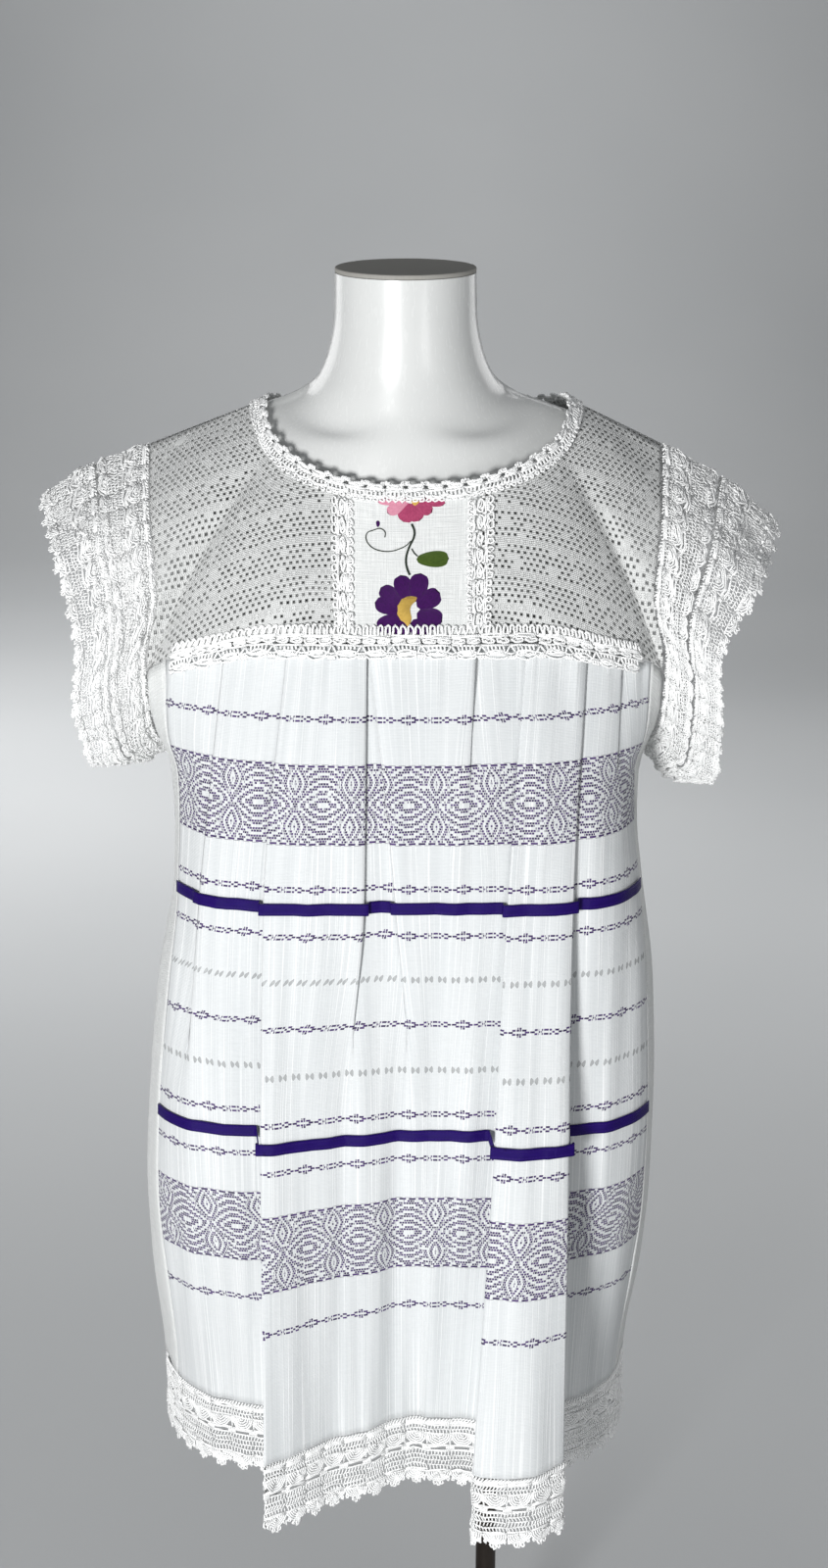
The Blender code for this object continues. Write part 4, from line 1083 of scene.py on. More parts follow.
def sum_of(operation, swapped=False):
    """A method of Value that makes one node of this operation."""
    def method(self, *others):
        values = (self, *others)
        return self.look.sum(operation, *(values[::-1] if swapped else values))
    return method


class Value:
    """A socket that takes Python's own arithmetic."""

    def __init__(self, look, socket):
        self.look = look
        self.socket = socket

    __add__ = __radd__ = sum_of("ADD")
    __sub__ = sum_of("SUBTRACT")
    __rsub__ = sum_of("SUBTRACT", swapped=True)
    __mul__ = __rmul__ = sum_of("MULTIPLY")
    __truediv__ = sum_of("DIVIDE")
    __abs__ = sum_of("ABSOLUTE")
    __lt__ = sum_of("LESS_THAN")
    __gt__ = sum_of("GREATER_THAN")
    most = sum_of("MAXIMUM")
    floor = sum_of("FLOOR")
    part = sum_of("FRACT")
    sine = sum_of("SINE")

    def fade(self, start, stop):
        """0 at start to 1 at stop, eased."""
        settings = {"interpolation_type": "SMOOTHSTEP"}
        sockets = {"Value": self, "From Min": start, "From Max": stop}
        return Value(self.look, self.look.node("ShaderNodeMapRange", settings, sockets).outputs[0])


class Look:
    """One material: its nodes, and the sums that feed them."""

    def __init__(self, name, **fixed):
        self.material = bpy.data.materials.new(name)
        self.material.use_nodes = True
        self.tree = self.material.node_tree
        self.shader = self.tree.nodes["Principled BSDF"]
        for socket, value in fixed.items():
            self.feed(self.shader.inputs[socket.replace("_", " ")], value)

    def feed(self, socket, value):
        if isinstance(value, Value):
            self.tree.links.new(value.socket, socket)
        elif isinstance(value, tuple) and socket.type == "RGBA":
            socket.default_value = (*value, 1.0)
        else:
            socket.default_value = value

    def node(self, kind, settings, sockets):
        made = self.tree.nodes.new(kind)
        for name, value in settings.items():
            setattr(made, name, value)
        for name, value in sockets.items():
            self.feed(made.inputs[name], value)
        return made

    def sum(self, operation, *values):
        made = self.node("ShaderNodeMath", {"operation": operation}, dict(enumerate(values)))
        return Value(self, made.outputs[0])

    def split(self, socket, count):
        """A vector's first numbers, from metres to millimetres."""
        parts = self.node("ShaderNodeSeparateXYZ", {}, {"Vector": Value(self, socket)})
        return [Value(self, parts.outputs[k]) * 1000.0 for k in range(count)]

    def flat(self, layer="flat"):
        """The cloth's flat place in millimetres: along and down."""
        return self.split(self.node("ShaderNodeUVMap", {"uv_map": layer}, {}).outputs[0], 2)

    def place(self):
        """The place in space, in millimetres."""
        return self.split(self.node("ShaderNodeTexCoord", {}, {}).outputs["Object"], 3)

    def noise(self, x, y, z=0.0, detail=2.0):
        """Noise from 0 to 1, one lump for each whole step of x, y and z."""
        joined = self.node("ShaderNodeCombineXYZ", {}, {"X": x, "Y": y, "Z": z})
        sockets = {"Vector": Value(self, joined.outputs[0]), "Scale": 1.0, "Detail": detail}
        return Value(self, self.node("ShaderNodeTexNoise", {}, sockets).outputs[0])

    def blend(self, share, first, second):
        """A colour between two, by a share that changes over the surface."""
        settings = {"data_type": "RGBA"}
        made = self.node("ShaderNodeMix", settings, {0: share, 6: first, 7: second})
        return Value(self, made.outputs[2])

    def dress(self, colour, roughness, height, depth, strength=1.0):
        """Colour, roughness and relief: a height from 0 to 1, and how deep one is in metres."""
        sockets = {"Height": height, "Distance": depth, "Strength": strength}
        bump = self.node("ShaderNodeBump", {}, sockets)
        self.paint("Base Color", colour)
        self.paint("Roughness", roughness)
        self.paint("Normal", Value(self, bump.outputs[0]))
        return self.material

    def paint(self, socket, value):
        self.feed(self.shader.inputs[socket], value)


def form_gloss():
    look = Look("form_gloss", Coat_Weight=0.35, Coat_Roughness=0.08)
    x, y, z = look.place()
    cloud = look.noise(x / 90.0, y / 90.0, z / 120.0)
    scuffs = look.noise(x / 2.5, y / 2.5, z / 14.0, 4.0).fade(0.55, 0.75)
    colour = look.blend(cloud, (0.62, 0.63, 0.62), (0.68, 0.69, 0.68))
    return look.dress(colour, 0.24 + 0.10 * scuffs + 0.05 * cloud,
                      look.noise(x / 30.0, y / 30.0, z / 30.0, 1.0), 0.0006, 0.5)


def cap_grey():
    look = Look("cap_grey", Specular_IOR_Level=0.2)
    x, y, _ = look.place()
    grain = look.noise(x / 1.2, y / 0.15, 0.0, 3.0)
    colour = look.blend(grain, (0.25, 0.243, 0.225), (0.38, 0.37, 0.34))
    return look.dress(colour, 0.62 + 0.2 * grain, grain, 0.0002, 0.6)


def stand_steel():
    look = Look("stand_steel", Metallic=0.6)
    x, y, z = look.place()
    wear = look.noise(x / 9.0, y / 9.0, z / 30.0, 4.0)
    colour = look.blend(wear, (0.020, 0.015, 0.012), (0.045, 0.036, 0.030))
    return look.dress(colour, 0.28 + 0.25 * wear,
                      look.noise(x / 0.8, y / 0.8, z / 0.8, 2.0), 0.0001, 0.5)


def warp_streaks(look, along, height):
    """The gauze's uneven warp: bright thick threads between thin ones."""
    thick = look.noise(along / 0.95, height / 240.0, 3.0, 2.0).fade(0.50, 0.70)
    slow = look.noise(along / 7.0, height / 300.0, 8.0, 2.0).fade(0.30, 0.70)
    return 0.72 * thick + 0.28 * slow


# The net's holes, and the rows woven into the gauze from its middle row, in millimetres
NET_PITCH, NET_ROW = 4.7, 3.9
CLOTH_MIDDLE = 723.0
BAND_AT, BAND_HALF = 173.5, 30.8
THIN_ROWS = (0.0, 72.0, 109.0, 238.0)
OPEN_ROWS = 36.5
MOTIF = 42.0
WEFT, THIN_WEFT = 1.9, 1.55
FINE_WEFT = 1.1
HOLE_PITCH = 10.4
FLOSS = 0.55


def from_motif(along):
    """Distance along the cloth from the nearest motif's middle."""
    return abs((along / MOTIF + 0.5).part() - 0.5) * MOTIF


def wide_band(look, along, level):
    """Brocade of long and upright eyes: 1 where the purple weft shows."""
    row = (level / WEFT).floor()
    q = abs((row + 0.5) * WEFT)
    odd = (row / 2.0).part() * 2.0
    p = from_motif(along)
    over, above = p / 21.0, abs(q - 16.5) / 14.0
    long_eye = 0.35 * over + 0.65 * over * over + q / 15.0
    upright = (1.0 - over) * 2.3 + 0.3 * above + 0.7 * above * above
    near = upright < 1.10
    rings = (long_eye * 2.6 + 0.58).part() < 0.60
    upright_rings = (upright * 2.1 + 0.42).part() < 0.58
    pattern = rings * (1.0 - near) + upright_rings * near
    thread = abs((level / WEFT).part() - 0.5) < 0.41
    warp = (along / 2.1 + 0.5 * odd).part() < 0.80
    missing = look.noise(along / 3.1, row * 1.37, 5.0, 0.0) < 0.70
    edge = q > BAND_HALF - 2.0
    edging = (along / 7.5 + 0.4 * odd).part() < 0.70
    inside = abs(level) < BAND_HALF
    drawn = pattern * warp * missing * (1.0 - edge) + edging * edge
    return drawn * thread * inside


def thin_row(along, level):
    """A row of one long eye, short eyes and bars: 1 where the purple weft shows."""
    row = (level / THIN_WEFT + 0.5).floor()
    q = abs(row * THIN_WEFT)
    p = from_motif(along)
    long_eye = p / 8.4 + q / 3.3
    short_eye = abs(p - 13.4) / 3.6 + q / 2.5
    long_ring = (long_eye < 1.12) * (long_eye > 0.50)
    short_ring = (short_eye < 1.10) * (short_eye > 0.44)
    bars = (p > 17.2) * (abs(q - THIN_WEFT) < 0.4)
    drawn = long_ring.most(short_ring).most(bars)
    thread = abs((level / THIN_WEFT + 0.5).part() - 0.5) < 0.47
    warp = (along / 4.2 + 0.5 * row).part() < 0.82
    return drawn * thread * warp * (q < 4.8)


def plain_cotton():
    """Plain weave of the placket and the sides: fine threads both ways and soft creases, which go
    into the bump and are also painted into the colour as painted shade.
    """
    look = Look("plain_cotton", Sheen_Weight=0.1)
    along, height = look.flat()
    warp = look.noise(along / 0.8, height / 30.0, 3.0, 2.0)
    weft = look.noise(along / 30.0, height / 0.8, 6.0, 2.0)
    crease_and_painted_shade = look.noise(along / 16.0, height / 22.0, 1.0, 3.0)
    threads = (0.5 * warp + 0.5 * weft).fade(0.35, 0.65)
    # Painted shade: the soft creases make the colour lighter and darker, as well as shaping the
    # bump.
    colour = look.blend(0.75 * threads + 0.25 * crease_and_painted_shade, (0.62, 0.635, 0.63), (0.76, 0.77, 0.76))
    return look.dress(colour, 0.88 - 0.06 * threads, 0.25 * threads + 0.75 * crease_and_painted_shade, 0.0012)


def woven_gauze():
    """Gauze with streaks along its warp, purple rows across it and rows of small holes."""
    look = Look("gauze_brocade", Sheen_Weight=0.1)
    along, height = look.flat()
    streaks = warp_streaks(look, along, height)
    place, height = look.flat("woven")
    slub = look.noise(along / 12.0, height / 1.1, 2.0, 2.0)
    fine = (height * (2.0 * math.pi / FINE_WEFT)).sine()
    tone = 0.15 + 0.62 * streaks + 0.18 * slub + 0.06 * fine
    ground = look.blend(tone, (0.50, 0.525, 0.535), (0.86, 0.87, 0.87))
    from_middle = height - CLOTH_MIDDLE
    away = abs(from_middle)
    purple = wide_band(look, place, away - BAND_AT).most(thin_row(place, from_middle))
    for level in THIN_ROWS[1:]:
        purple = purple.most(thin_row(place, away - level))
    tint = look.noise(place / 5.0, height / 1.9, 4.0, 2.0)
    weft = look.blend(tint.fade(0.35, 0.65), (0.014, 0.003, 0.050), (0.072, 0.030, 0.155))
    look.paint("Alpha", 1.0 - 0.55 * open_holes(place, away - OPEN_ROWS))
    colour = look.blend(purple, ground, weft)
    return look.dress(colour, 0.86 - 0.22 * purple,
                      0.40 * streaks + 0.12 * fine + 0.25 * slub + 0.5 * purple, 0.00042)


def open_holes(along, level):
    """Pairs of small slanting leaf-shaped holes in a row."""
    pair = abs((along / HOLE_PITCH).part() - 0.5) * HOLE_PITCH
    beside = abs(pair - 1.7 - 0.25 * abs(level))
    leaf = (beside / 1.5) + abs(level / 2.9) * abs(level / 2.9)
    return leaf < 1.0


def crochet_net():
    """The yoke's net: rows of square holes, then a row of fans, in doubled thread, with painted
    shade round each hole and painted highlights on its cords, bars and fans.
    """
    look = Look("crochet_net", Sheen_Weight=0.1)
    along, height = look.flat()
    wander = look.noise(along / 26.0, height / 26.0, 1.0, 2.0)
    up = (height + 3.0 * wander) / NET_ROW
    row = up.floor()
    shift = (row / 2.0).part() * NET_PITCH
    over = (along + shift + 1.2 * look.noise(along / 12.0, height / 9.0, 6.0, 1.0)) / NET_PITCH
    across = abs(over.part() - 0.5)
    upright = abs(up.part() - 0.5)
    fan_row = ((row + 0.5) / 6.0).part() > 0.80
    square = across.most(upright * 0.95)
    luck = look.noise(over.floor() * 3.7, row * 5.1, 2.0, 0.0)
    size = 0.10 + 0.14 * luck
    turn = abs((over / 2.0).part() - 0.5) * 2.0
    ray = (turn * turn + up.part() * up.part()) * 3.2
    fans = abs(ray.part() - 0.5) * 2.0
    gap = (fans < 0.16) * fan_row * (square < 0.36)
    holed = (1.0 - fan_row) * (luck > 0.35)
    open_part = ((square < size) * holed).most(gap)
    # Painted shade: the thread's colour is darkened in a rim round each hole, where the net's depth
    # would shade it.
    painted_hole_shade = (square - size).fade(0.16, 0.0) * holed
    cords = abs((up * 3.0).part() - 0.5) * 2.0
    bars = abs((over * 3.0 + 0.5).part() - 0.5) * 2.0
    relief = 0.55 * cords + 0.30 * bars + 0.15 * fan_row * fans
    fuzz = look.noise(along / 0.7, height / 0.7, 0.0, 3.0)
    # Painted highlights and painted shade: the tone is lighter on the cords, bars and fans and
    # darker between them, following the same relief that feeds the bump.
    tone = (0.45 + 0.40 * relief + 0.30 * fuzz - 0.65 * painted_hole_shade).fade(0.0, 1.0)
    look.paint("Alpha", 1.0 - open_part)
    colour = look.blend(tone, (0.25, 0.255, 0.25), (0.82, 0.83, 0.82))
    return look.dress(colour, 0.90 - 0.08 * fuzz, 0.75 * relief + 0.25 * fuzz, 0.0015)


def lace_thread():
    """White cotton thread, twisted, with fuzz."""
    look = Look("lace_thread", Sheen_Weight=0.15)
    run, turn = look.flat()
    twist = ((run / 1.7 + turn / 500.0) * (2.0 * math.pi)).sine() * 0.5 + 0.5
    x, y, z = look.place()
    fuzz = look.noise(x / 0.6, y / 0.6, z / 0.6, 3.0)
    tone = (0.6 * twist + 0.6 * fuzz).fade(0.1, 0.9)
    colour = look.blend(tone, (0.82, 0.825, 0.82), (0.92, 0.925, 0.92))
    return look.dress(colour, 0.88 - 0.1 * fuzz, 0.7 * twist + 0.3 * fuzz, 0.0002)


def satin():
    look = Look("ribbon_satin", Specular_IOR_Level=0.15)
    along, down = look.flat()
    ribs = (down * (2.0 * math.pi / 0.45)).sine() * 0.5 + 0.5
    cloud = look.noise(along / 11.0, down / 2.0, 1.0, 3.0)
    stitch = (abs(down + 2.0) < 0.22).most(abs(down + 7.5) < 0.22) * ((along / 2.6).part() < 0.7)
    colour = look.blend((0.5 * ribs + 0.5 * cloud).fade(0.2, 0.8),
                        (0.006, 0.0003, 0.062), (0.017, 0.001, 0.140))
    colour = look.blend(stitch * 0.35, colour, (0.06, 0.02, 0.25))
    return look.dress(colour, 0.36 + 0.18 * cloud, 0.5 * ribs + 0.5 * cloud - 0.8 * stitch, 0.00018)


def satin_stitch(name, dark, light):
    """Embroidery floss laid side by side: along runs across the threads."""
    look = Look(name, Sheen_Weight=0.05, Specular_IOR_Level=0.25)
    across, along = look.flat()
    threads = abs((across / FLOSS).part() - 0.5) * 2.0
    strand = look.noise((across / FLOSS).floor() * 4.3, along / 3.0, 2.0, 2.0)
    colour = look.blend((0.55 * strand + 0.45 * threads).fade(0.15, 0.85), dark, light)
    return look.dress(colour, 0.42 + 0.2 * strand, 0.75 * threads + 0.25 * strand, 0.00030)


def studio_paper():
    look = Look("studio_paper")
    x, y, z = look.place()
    cloud = look.noise(x / 900.0, y / 900.0, z / 900.0, 2.0)
    grain = look.noise(x / 3.0, y / 3.0, z / 3.0, 3.0)
    colour = look.blend(cloud, (0.37, 0.38, 0.386), (0.43, 0.437, 0.44))
    return look.dress(colour, 0.88 + 0.08 * grain, grain, 0.0004, 0.3)


# Making the pieces

LEFT_RIGHT = (("left", False), ("right", True))
RIBBON_WALL, GAUZE_WALL, NET_WALL = 0.0005, 0.0007, 0.0009
RIBBON_LEVELS = 5

# A cut's turned hem in metres, and how many planes measure each way across a sheet
HEM_TURN = 0.02
CUT_PLANES = 16

# Fineness of the form, the turned pieces and the surfaces under the threads
FORM_FINE, FORM_TURNS = 90, 112
LATHE_SIDES = 96
SHARP = 50.0
HEM_ROWS = 9
SLEEVE_LINES, SLEEVE_STEPS = 10, 120
RIB_STEPS, PLACKET_RIBS, PLACKET_GRID = 31, 13, 17
NECK_TRIM_ROWS, SEAM_TRIM_ROWS, SIDE_TRIM_STEPS = 6, 8, 24

# Hollows over the collarbones, the rounded edges of cap and base, and the pole's collar
HOLLOW_X, HOLLOW_Z = 0.055, 1.176
HOLLOW_REACH, HOLLOW_RISE, HOLLOW_DEPTH = 0.034, 0.013, 0.0095
HOLLOW_BACK = 0.3
AXIS_RADIUS = 0.0005
CAP_EDGE_LOW, CAP_EDGE_TOP = 0.0006, 0.0010
BASE_EDGE_LOW, BASE_EDGE_TOP = 0.0015, 0.003
COLLAR_TOP, COLLAR_SIDE = 0.016, 0.012
COLLAR_OUT, COLLAR_FOOT = 0.006, 0.007

# The sleeve's two strips: the length of lace that fills one, and how it frills and lumps
STRIP_LACE, INNER_LACE = 58.0, 58.5
SLEEVE_CENTRE_X = 0.25
FRILL, LUMP = 0.0032, 0.0016

# How far the trims' threads lie off their surface and from the solid trims' edges, and how
# far round the seam trim goes
LIFT = 0.0001
NECK_THREAD_IN, NECK_THREAD_OUT = 0.0015, 0.0025
SIDE_THREAD_TOP, SIDE_THREAD_END = 0.002, 0.003
SEAM_TRIM_SPAN = 0.47


def new_piece(name, mesh, material, nodes):
    """A visible piece on the one body, with the solids that it stands for."""
    piece = bpy.data.objects.new(name, mesh)
    mesh.materials.append(material)
    bpy.context.scene.collection.objects.link(piece)
    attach(piece, "root")
    if nodes:
        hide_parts(*nodes)
    return piece


def mesh_from(name, corners, faces, flats):
    """A smooth mesh from corners, four-sided faces and each face's flat places."""
    mesh = bpy.data.meshes.new(name)
    mesh.from_pydata(corners.tolist(), [], faces.tolist())
    layer = mesh.uv_layers.new(name="flat")
    layer.data.foreach_set("uv", np.ascontiguousarray(flats, dtype=np.float32).ravel())
    mesh.shade_smooth()
    return mesh


def grid_faces(rows, columns):
    row, column = np.meshgrid(np.arange(rows - 1), np.arange(columns - 1), indexing="ij")
    first = (row * columns + column).ravel()
    return np.stack([first, first + 1, first + columns + 1, first + columns], axis=-1)


def sheet_piece(name, grid, flat, thickness, material, nodes, woven=None):
    """A sheet of cloth with a real wall, from its points and their flat places."""
    grid = array(grid) if isinstance(grid, list) else grid
    flat = np.array(flat)
    faces = grid_faces(*grid.shape[:2])
    mesh = mesh_from(name, grid.reshape(-1, 3), faces, flat.reshape(-1, 2)[faces])
    if woven is not None:
        layer = mesh.uv_layers.new(name="woven")
        places = np.ascontiguousarray(woven.reshape(-1, 2)[faces], dtype=np.float32)
        layer.data.foreach_set("uv", places.ravel())
    piece = new_piece(name, mesh, material, nodes)
    wall = piece.modifiers.new("wall", "SOLIDIFY")
    wall.thickness = thickness
    wall.offset = 0.0
    return piece


def joined_mesh(name, parts):
    """One mesh from many parts, each its corners, its faces and their flat places."""
    corners, faces, flats = [], [], []
    count = 0
    for points, sides, places in parts:
        corners.append(points)
        faces.append(sides + count)
        flats.append(places)
        count += len(points)
    return mesh_from(name, np.concatenate(corners), np.concatenate(faces), np.concatenate(flats))


def thread_piece(name, surface, motif, wide, depth, lift, material, nodes):
    """A lace or trim of thread, each motif laid again and again along a surface."""
    parts = [tubes(*spread(surface, thread, wide, depth, lift)) for thread in motif]
    return new_piece(name, joined_mesh(name, parts), material, nodes)


def ring_piece(name, rings, material, nodes):
    """A closed smooth body from rings of points, its ends filled."""
    count = len(rings[0])
    points = np.concatenate([array([ring])[0] for ring in rings])
    faces = []
    for row in range(len(rings) - 1):
        for k in range(count):
            a = row * count + k
            b = row * count + (k + 1) % count
            faces.append((a, a + count, b + count, b))
    faces.append(tuple(range(count)))
    last = (len(rings) - 1) * count
    faces.append(tuple(last + k for k in reversed(range(count))))
    mesh = bpy.data.meshes.new(name)
    mesh.from_pydata(points.tolist(), [], faces)
    mesh.shade_smooth()
    mesh.set_sharp_from_angle(angle=math.radians(SHARP))
    return new_piece(name, mesh, material, nodes)


def lathe_piece(name, profile, x, material, nodes):
    """A turned piece from radius and height pairs, about an upright axis at x."""
    rings = []
    for radius, z in profile:
        turns = [2.0 * math.pi * k / LATHE_SIDES for k in range(LATHE_SIDES)]
        rings.append([Vector((x + radius * math.cos(t), radius * math.sin(t), z)) for t in turns])
    return ring_piece(name, rings, material, nodes)


def form_rings():
    """The form's rings, made finer by a smooth curve through the table's rows."""
    places = list(range(len(FORM_RINGS)))
    rings = []
    for k in range(FORM_FINE + 1):
        at = k / FORM_FINE * (len(FORM_RINGS) - 1)
        ring = [smooth_value(places, column(FORM_RINGS, j), at) for j in range(7)]
        rings.append([hollowed(form_point(ring, 360.0 * t / FORM_TURNS))
                      for t in range(FORM_TURNS)])
    return rings


def hollowed(point):
    """Shallow hollows over the form's collarbones."""
    if point[1] > 0.0:
        return point
    beside = (abs(point[0]) - HOLLOW_X) / HOLLOW_REACH
    above = (point[2] - HOLLOW_Z) / HOLLOW_RISE
    depth = HOLLOW_DEPTH * math.exp(-beside * beside - above * above)
    return Vector((point[0], point[1] + HOLLOW_BACK * depth, point[2] - depth))


def rounded_edge(radius, z, bevel, up):
    """A turned edge in four steps, from the side over to the flat, or back."""
    turns = [math.radians(90.0 * k / 4.0) for k in range(5)]
    corner = [(radius - bevel + bevel * math.cos(t), z + up * bevel * (math.sin(t) - 1.0))
              for t in turns]
    return corner if up > 0 else corner[::-1]


def plate(radius, low, high, edges):
    """A turned plate's profile with rounded edges, from its underside up to its top."""
    profile = [(AXIS_RADIUS, low)] + rounded_edge(radius, low, edges[0], -1)
    return profile + rounded_edge(radius, high, edges[1], 1) + [(AXIS_RADIUS, high)]


def build_stand(looks):
    """The form, its cap, the pole with a small collar at its foot, and the base."""
    ring_piece("form", form_rings(), looks["form"], ["dress_form"])
    cap = plate(NECK_RADIUS, CAP_TOP - CAP_HEIGHT, CAP_TOP, (CAP_EDGE_LOW, CAP_EDGE_TOP))
    lathe_piece("cap", cap[::-1], 0.0, looks["cap"], ["neck_cap"])
    form_bottom = FORM_RINGS[-1][1]
    pole = [(POLE_RADIUS, form_bottom - GAP), (POLE_RADIUS, BASE_HEIGHT + COLLAR_TOP),
            (POLE_RADIUS + COLLAR_OUT, BASE_HEIGHT + COLLAR_SIDE),
            (POLE_RADIUS + COLLAR_FOOT, BASE_HEIGHT + GAP)]
    lathe_piece("pole", pole, POLE_X, looks["steel"], ["stand_pole"])
    base = plate(BASE_RADIUS, 0.0, BASE_HEIGHT, (BASE_EDGE_LOW, BASE_EDGE_TOP))
    lathe_piece("base", base[::-1], 0.0, looks["steel"], ["stand_base"])


def ribbon_piece(node, z, folds, facing, looks):
    """A satin ribbon sewn over the folds of one panel."""
    half = RIBBON_HEIGHT / 2.0
    cloth = draped(rounded(cloth_line(z, folds, facing), FOLD_ROUND), facing)
    middle = rounded(ribbon_line(z, folds, facing), RIBBON_ROUND)
    steps = [max(round((b - a).length / RIBBON_STEP), 1) for a, b in zip(middle, middle[1:])]
    rows = []
    for level in np.linspace(half, -half, RIBBON_LEVELS):
        line = draped(rounded(ribbon_line(z + float(level), folds, facing), RIBBON_ROUND), facing)
        rows.append(over_cloth(line, cloth, steps, facing))
    grid = array(rows)
    return sheet_piece(node.replace("ribbon", "satin"), grid, flat_of(grid), RIBBON_WALL,
                       looks["satin"], [node])


def build_body(looks):
    """Front and back panels with their ribbons and hem lace, then the side panels."""
    faces = (("front", FRONT_FOLDS, -1), ("back", BACK_FOLDS, 1))
    motif = lace_motif(True)
    for side, folds, facing in faces:
        grid, flat, woven = panel_grid(folds, facing)
        panel = sheet_piece("gauze_" + side, grid, flat, GAUZE_WALL, looks["gauze"],
                            [side + "_panel"], woven)
        for level, z in RIBBONS:
            ribbon_piece("ribbon_" + level + "_" + side, z, folds, facing, looks)
        surface = Surface(hem_rows(folds, facing), (0.0, 0.0, HEM_Z))
        lace = thread_piece("hem_thread_" + side, surface, motif, LACE_WIDE, LACE_DEPTH, 0.0,
                            looks["thread"], ["hem_lace_" + side])
        cut, area = cut_of(grid, HEM_TURN)
    for side, right in LEFT_RIGHT:
        grid = array(side_rows(right))
        panel = sheet_piece("cotton_" + side, grid, flat_of(grid), GAUZE_WALL,
                            looks["cotton"], ["side_panel_" + side])
        cut, area = cut_of(grid)


def cut_of(grid, turned=0.0, by_planes=False):
    """A sheet's greatest width and length and its area, measured along its own grid.

    The width is that of level sections. The length is that of the grid's own lines down,
    or of upright sections for a sheet whose lines fan out from the neck.
    """
    grid = array(grid)
    corners = (grid[:-1, :-1], grid[:-1, 1:], grid[1:, :-1], grid[1:, 1:])
    faces = np.concatenate([np.stack(corners[k:k + 3], axis=2).reshape(-1, 3, 3)
                            for k in (0, 1)])
    crossed = np.cross(faces[:, 1] - faces[:, 0], faces[:, 2] - faces[:, 0])
    cloth = float(np.linalg.norm(crossed, axis=1).sum()) / 2.0
    widths = plane_lengths(faces, 2)
    lengths = [float(lengths_along(grid[:, k])[-1]) for k in range(grid.shape[1])]
    if by_planes:
        lengths = plane_lengths(faces, 0)
    return (max(widths), max(lengths) + turned), cloth + turned * widths[0]


def plane_lengths(faces, axis):
    """Lengths of the lines in which evenly spaced planes cut a sheet's faces."""
    low, high = float(faces[:, :, axis].min()), float(faces[:, :, axis].max())
    found = []
    for k in range(CUT_PLANES):
        beyond = faces[:, :, axis] - (low + (high - low) * (k + 0.5) / CUT_PLANES)
        crossed = (beyond < 0.0).any(axis=1) & (beyond >= 0.0).any(axis=1)
        total = 0.0
        for face, side in zip(faces[crossed], beyond[crossed]):
            ends = [face[i] + (face[j] - face[i]) * side[i] / (side[i] - side[j])
                    for i, j in ((0, 1), (1, 2), (2, 0)) if (side[i] < 0.0) != (side[j] < 0.0)]
            total += float(np.linalg.norm(ends[0] - ends[1]))
        found.append(total)
    return found


def hem_rows(folds, facing):
    """Where the hem's lace hangs: the hem's line, drawn down."""
    line = draped(rounded(hem_line(folds, facing), FOLD_ROUND), facing)
    rows = []
    for share in np.linspace(0.0, 1.0, HEM_ROWS):
        drop = LACE_DEPTH / 1000.0 * float(share)
        rows.append([Vector((p.x, p.y, HEM_Z - GAP - drop)) for p in line])
    return rows


def build_sleeves(looks):
    """Two strips of crochet a side, the outer one with the lace's scalloped edge."""
    strips = (("inner", SLEEVE_INNER, INNER_LACE, 1.0),
              ("outer", SLEEVE_OUTER, LACE_DEPTH, LACE_DEPTH / STRIP_LACE))
    for side, right in LEFT_RIGHT:
        for strip, (begin, end), depth, longer in strips:
            reach = (end - begin) * longer
            rows = []
            for share in np.linspace(0.0, 1.0, SLEEVE_LINES):
                across = begin + reach * float(share)
                rows.append([frilled(360.0 * k / SLEEVE_STEPS, across, right)
                             for k in range(SLEEVE_STEPS)])
            centre = (SLEEVE_CENTRE_X if right else -SLEEVE_CENTRE_X, 0.0, SLEEVE_CENTRE_Z)
            thread_piece("sleeve_thread_" + strip + "_" + side, Surface(rows, centre, True),
                         undulating(lace_motif(strip == "outer")), LACE_WIDE, depth, 0.0,
                         looks["thread"], ["sleeve_lace_" + strip + "_" + side])


def frilled(turn, across, right):
    """A sleeve's point, waving more towards the free edge, and a little lumpy."""
    point = sleeve_point(turn, across, right)
    around = math.radians(turn)
    wave = math.sin(9.0 * around + 2.0 * across) + 0.6 * math.sin(5.0 * around)
    lumps = math.sin(23.0 * around + 7.0 * across) * math.sin(17.0 * across + 3.0 * around)
    away = Vector((0.0, point.y, point.z - SLEEVE_CENTRE_Z)).normalized()
    return point + away * (FRILL * wave * across + LUMP * lumps)


def fine_ribs(back):
    """Ribs from the left armhole to the right across the front, or back again behind."""
    shares = [float(share) for share in np.linspace(0.0, 1.0, RIB_STEPS)]
    if back:
        return (yoke_ribs(shares[::-1], True, 1, BACK_MIDDLE)
                + yoke_ribs(shares[1:], False, 1, -BACK_MIDDLE))
    between = [(functools.partial(placket_point, float(share)), 0.0)
               for share in np.linspace(0.0, 1.0, PLACKET_RIBS)[1:-1]]
    return (yoke_ribs(shares[::-1], False, -1, PLACKET_LEFT - GAP) + between
            + yoke_ribs(shares, True, -1, PLACKET_RIGHT + GAP))


def yoke_ribs(shares, right, facing, start_x):
    """Ribs down one part of the yoke, each with its share of the way to the armhole."""
    return [(functools.partial(rib_at, share, right, facing, start_x), share)
            for share in shares]


def rib_at(share, right, facing, start_x, down, out):
    return yoke_point(share, down, right, facing, start_x, out)


def neck_rows():
    """The surface under the neck edging, in a ring round the neckline."""
    ribs = fine_ribs(False)[:-1] + fine_ribs(True)[:-1]
    rows = []
    for share in np.linspace(0.0, 1.0, NECK_TRIM_ROWS):
        row = []
        for rib, _ in ribs:
            length = (rib(1.0, 0.0) - rib(0.0, 0.0)).length
            reach = mix(-NECK_TRIM_IN - NECK_THREAD_IN, NECK_TRIM_OUT - NECK_THREAD_OUT,
                        float(share))
            row.append(rib(reach / length, TRIM_OFF))
        rows.append(row)
    return rows


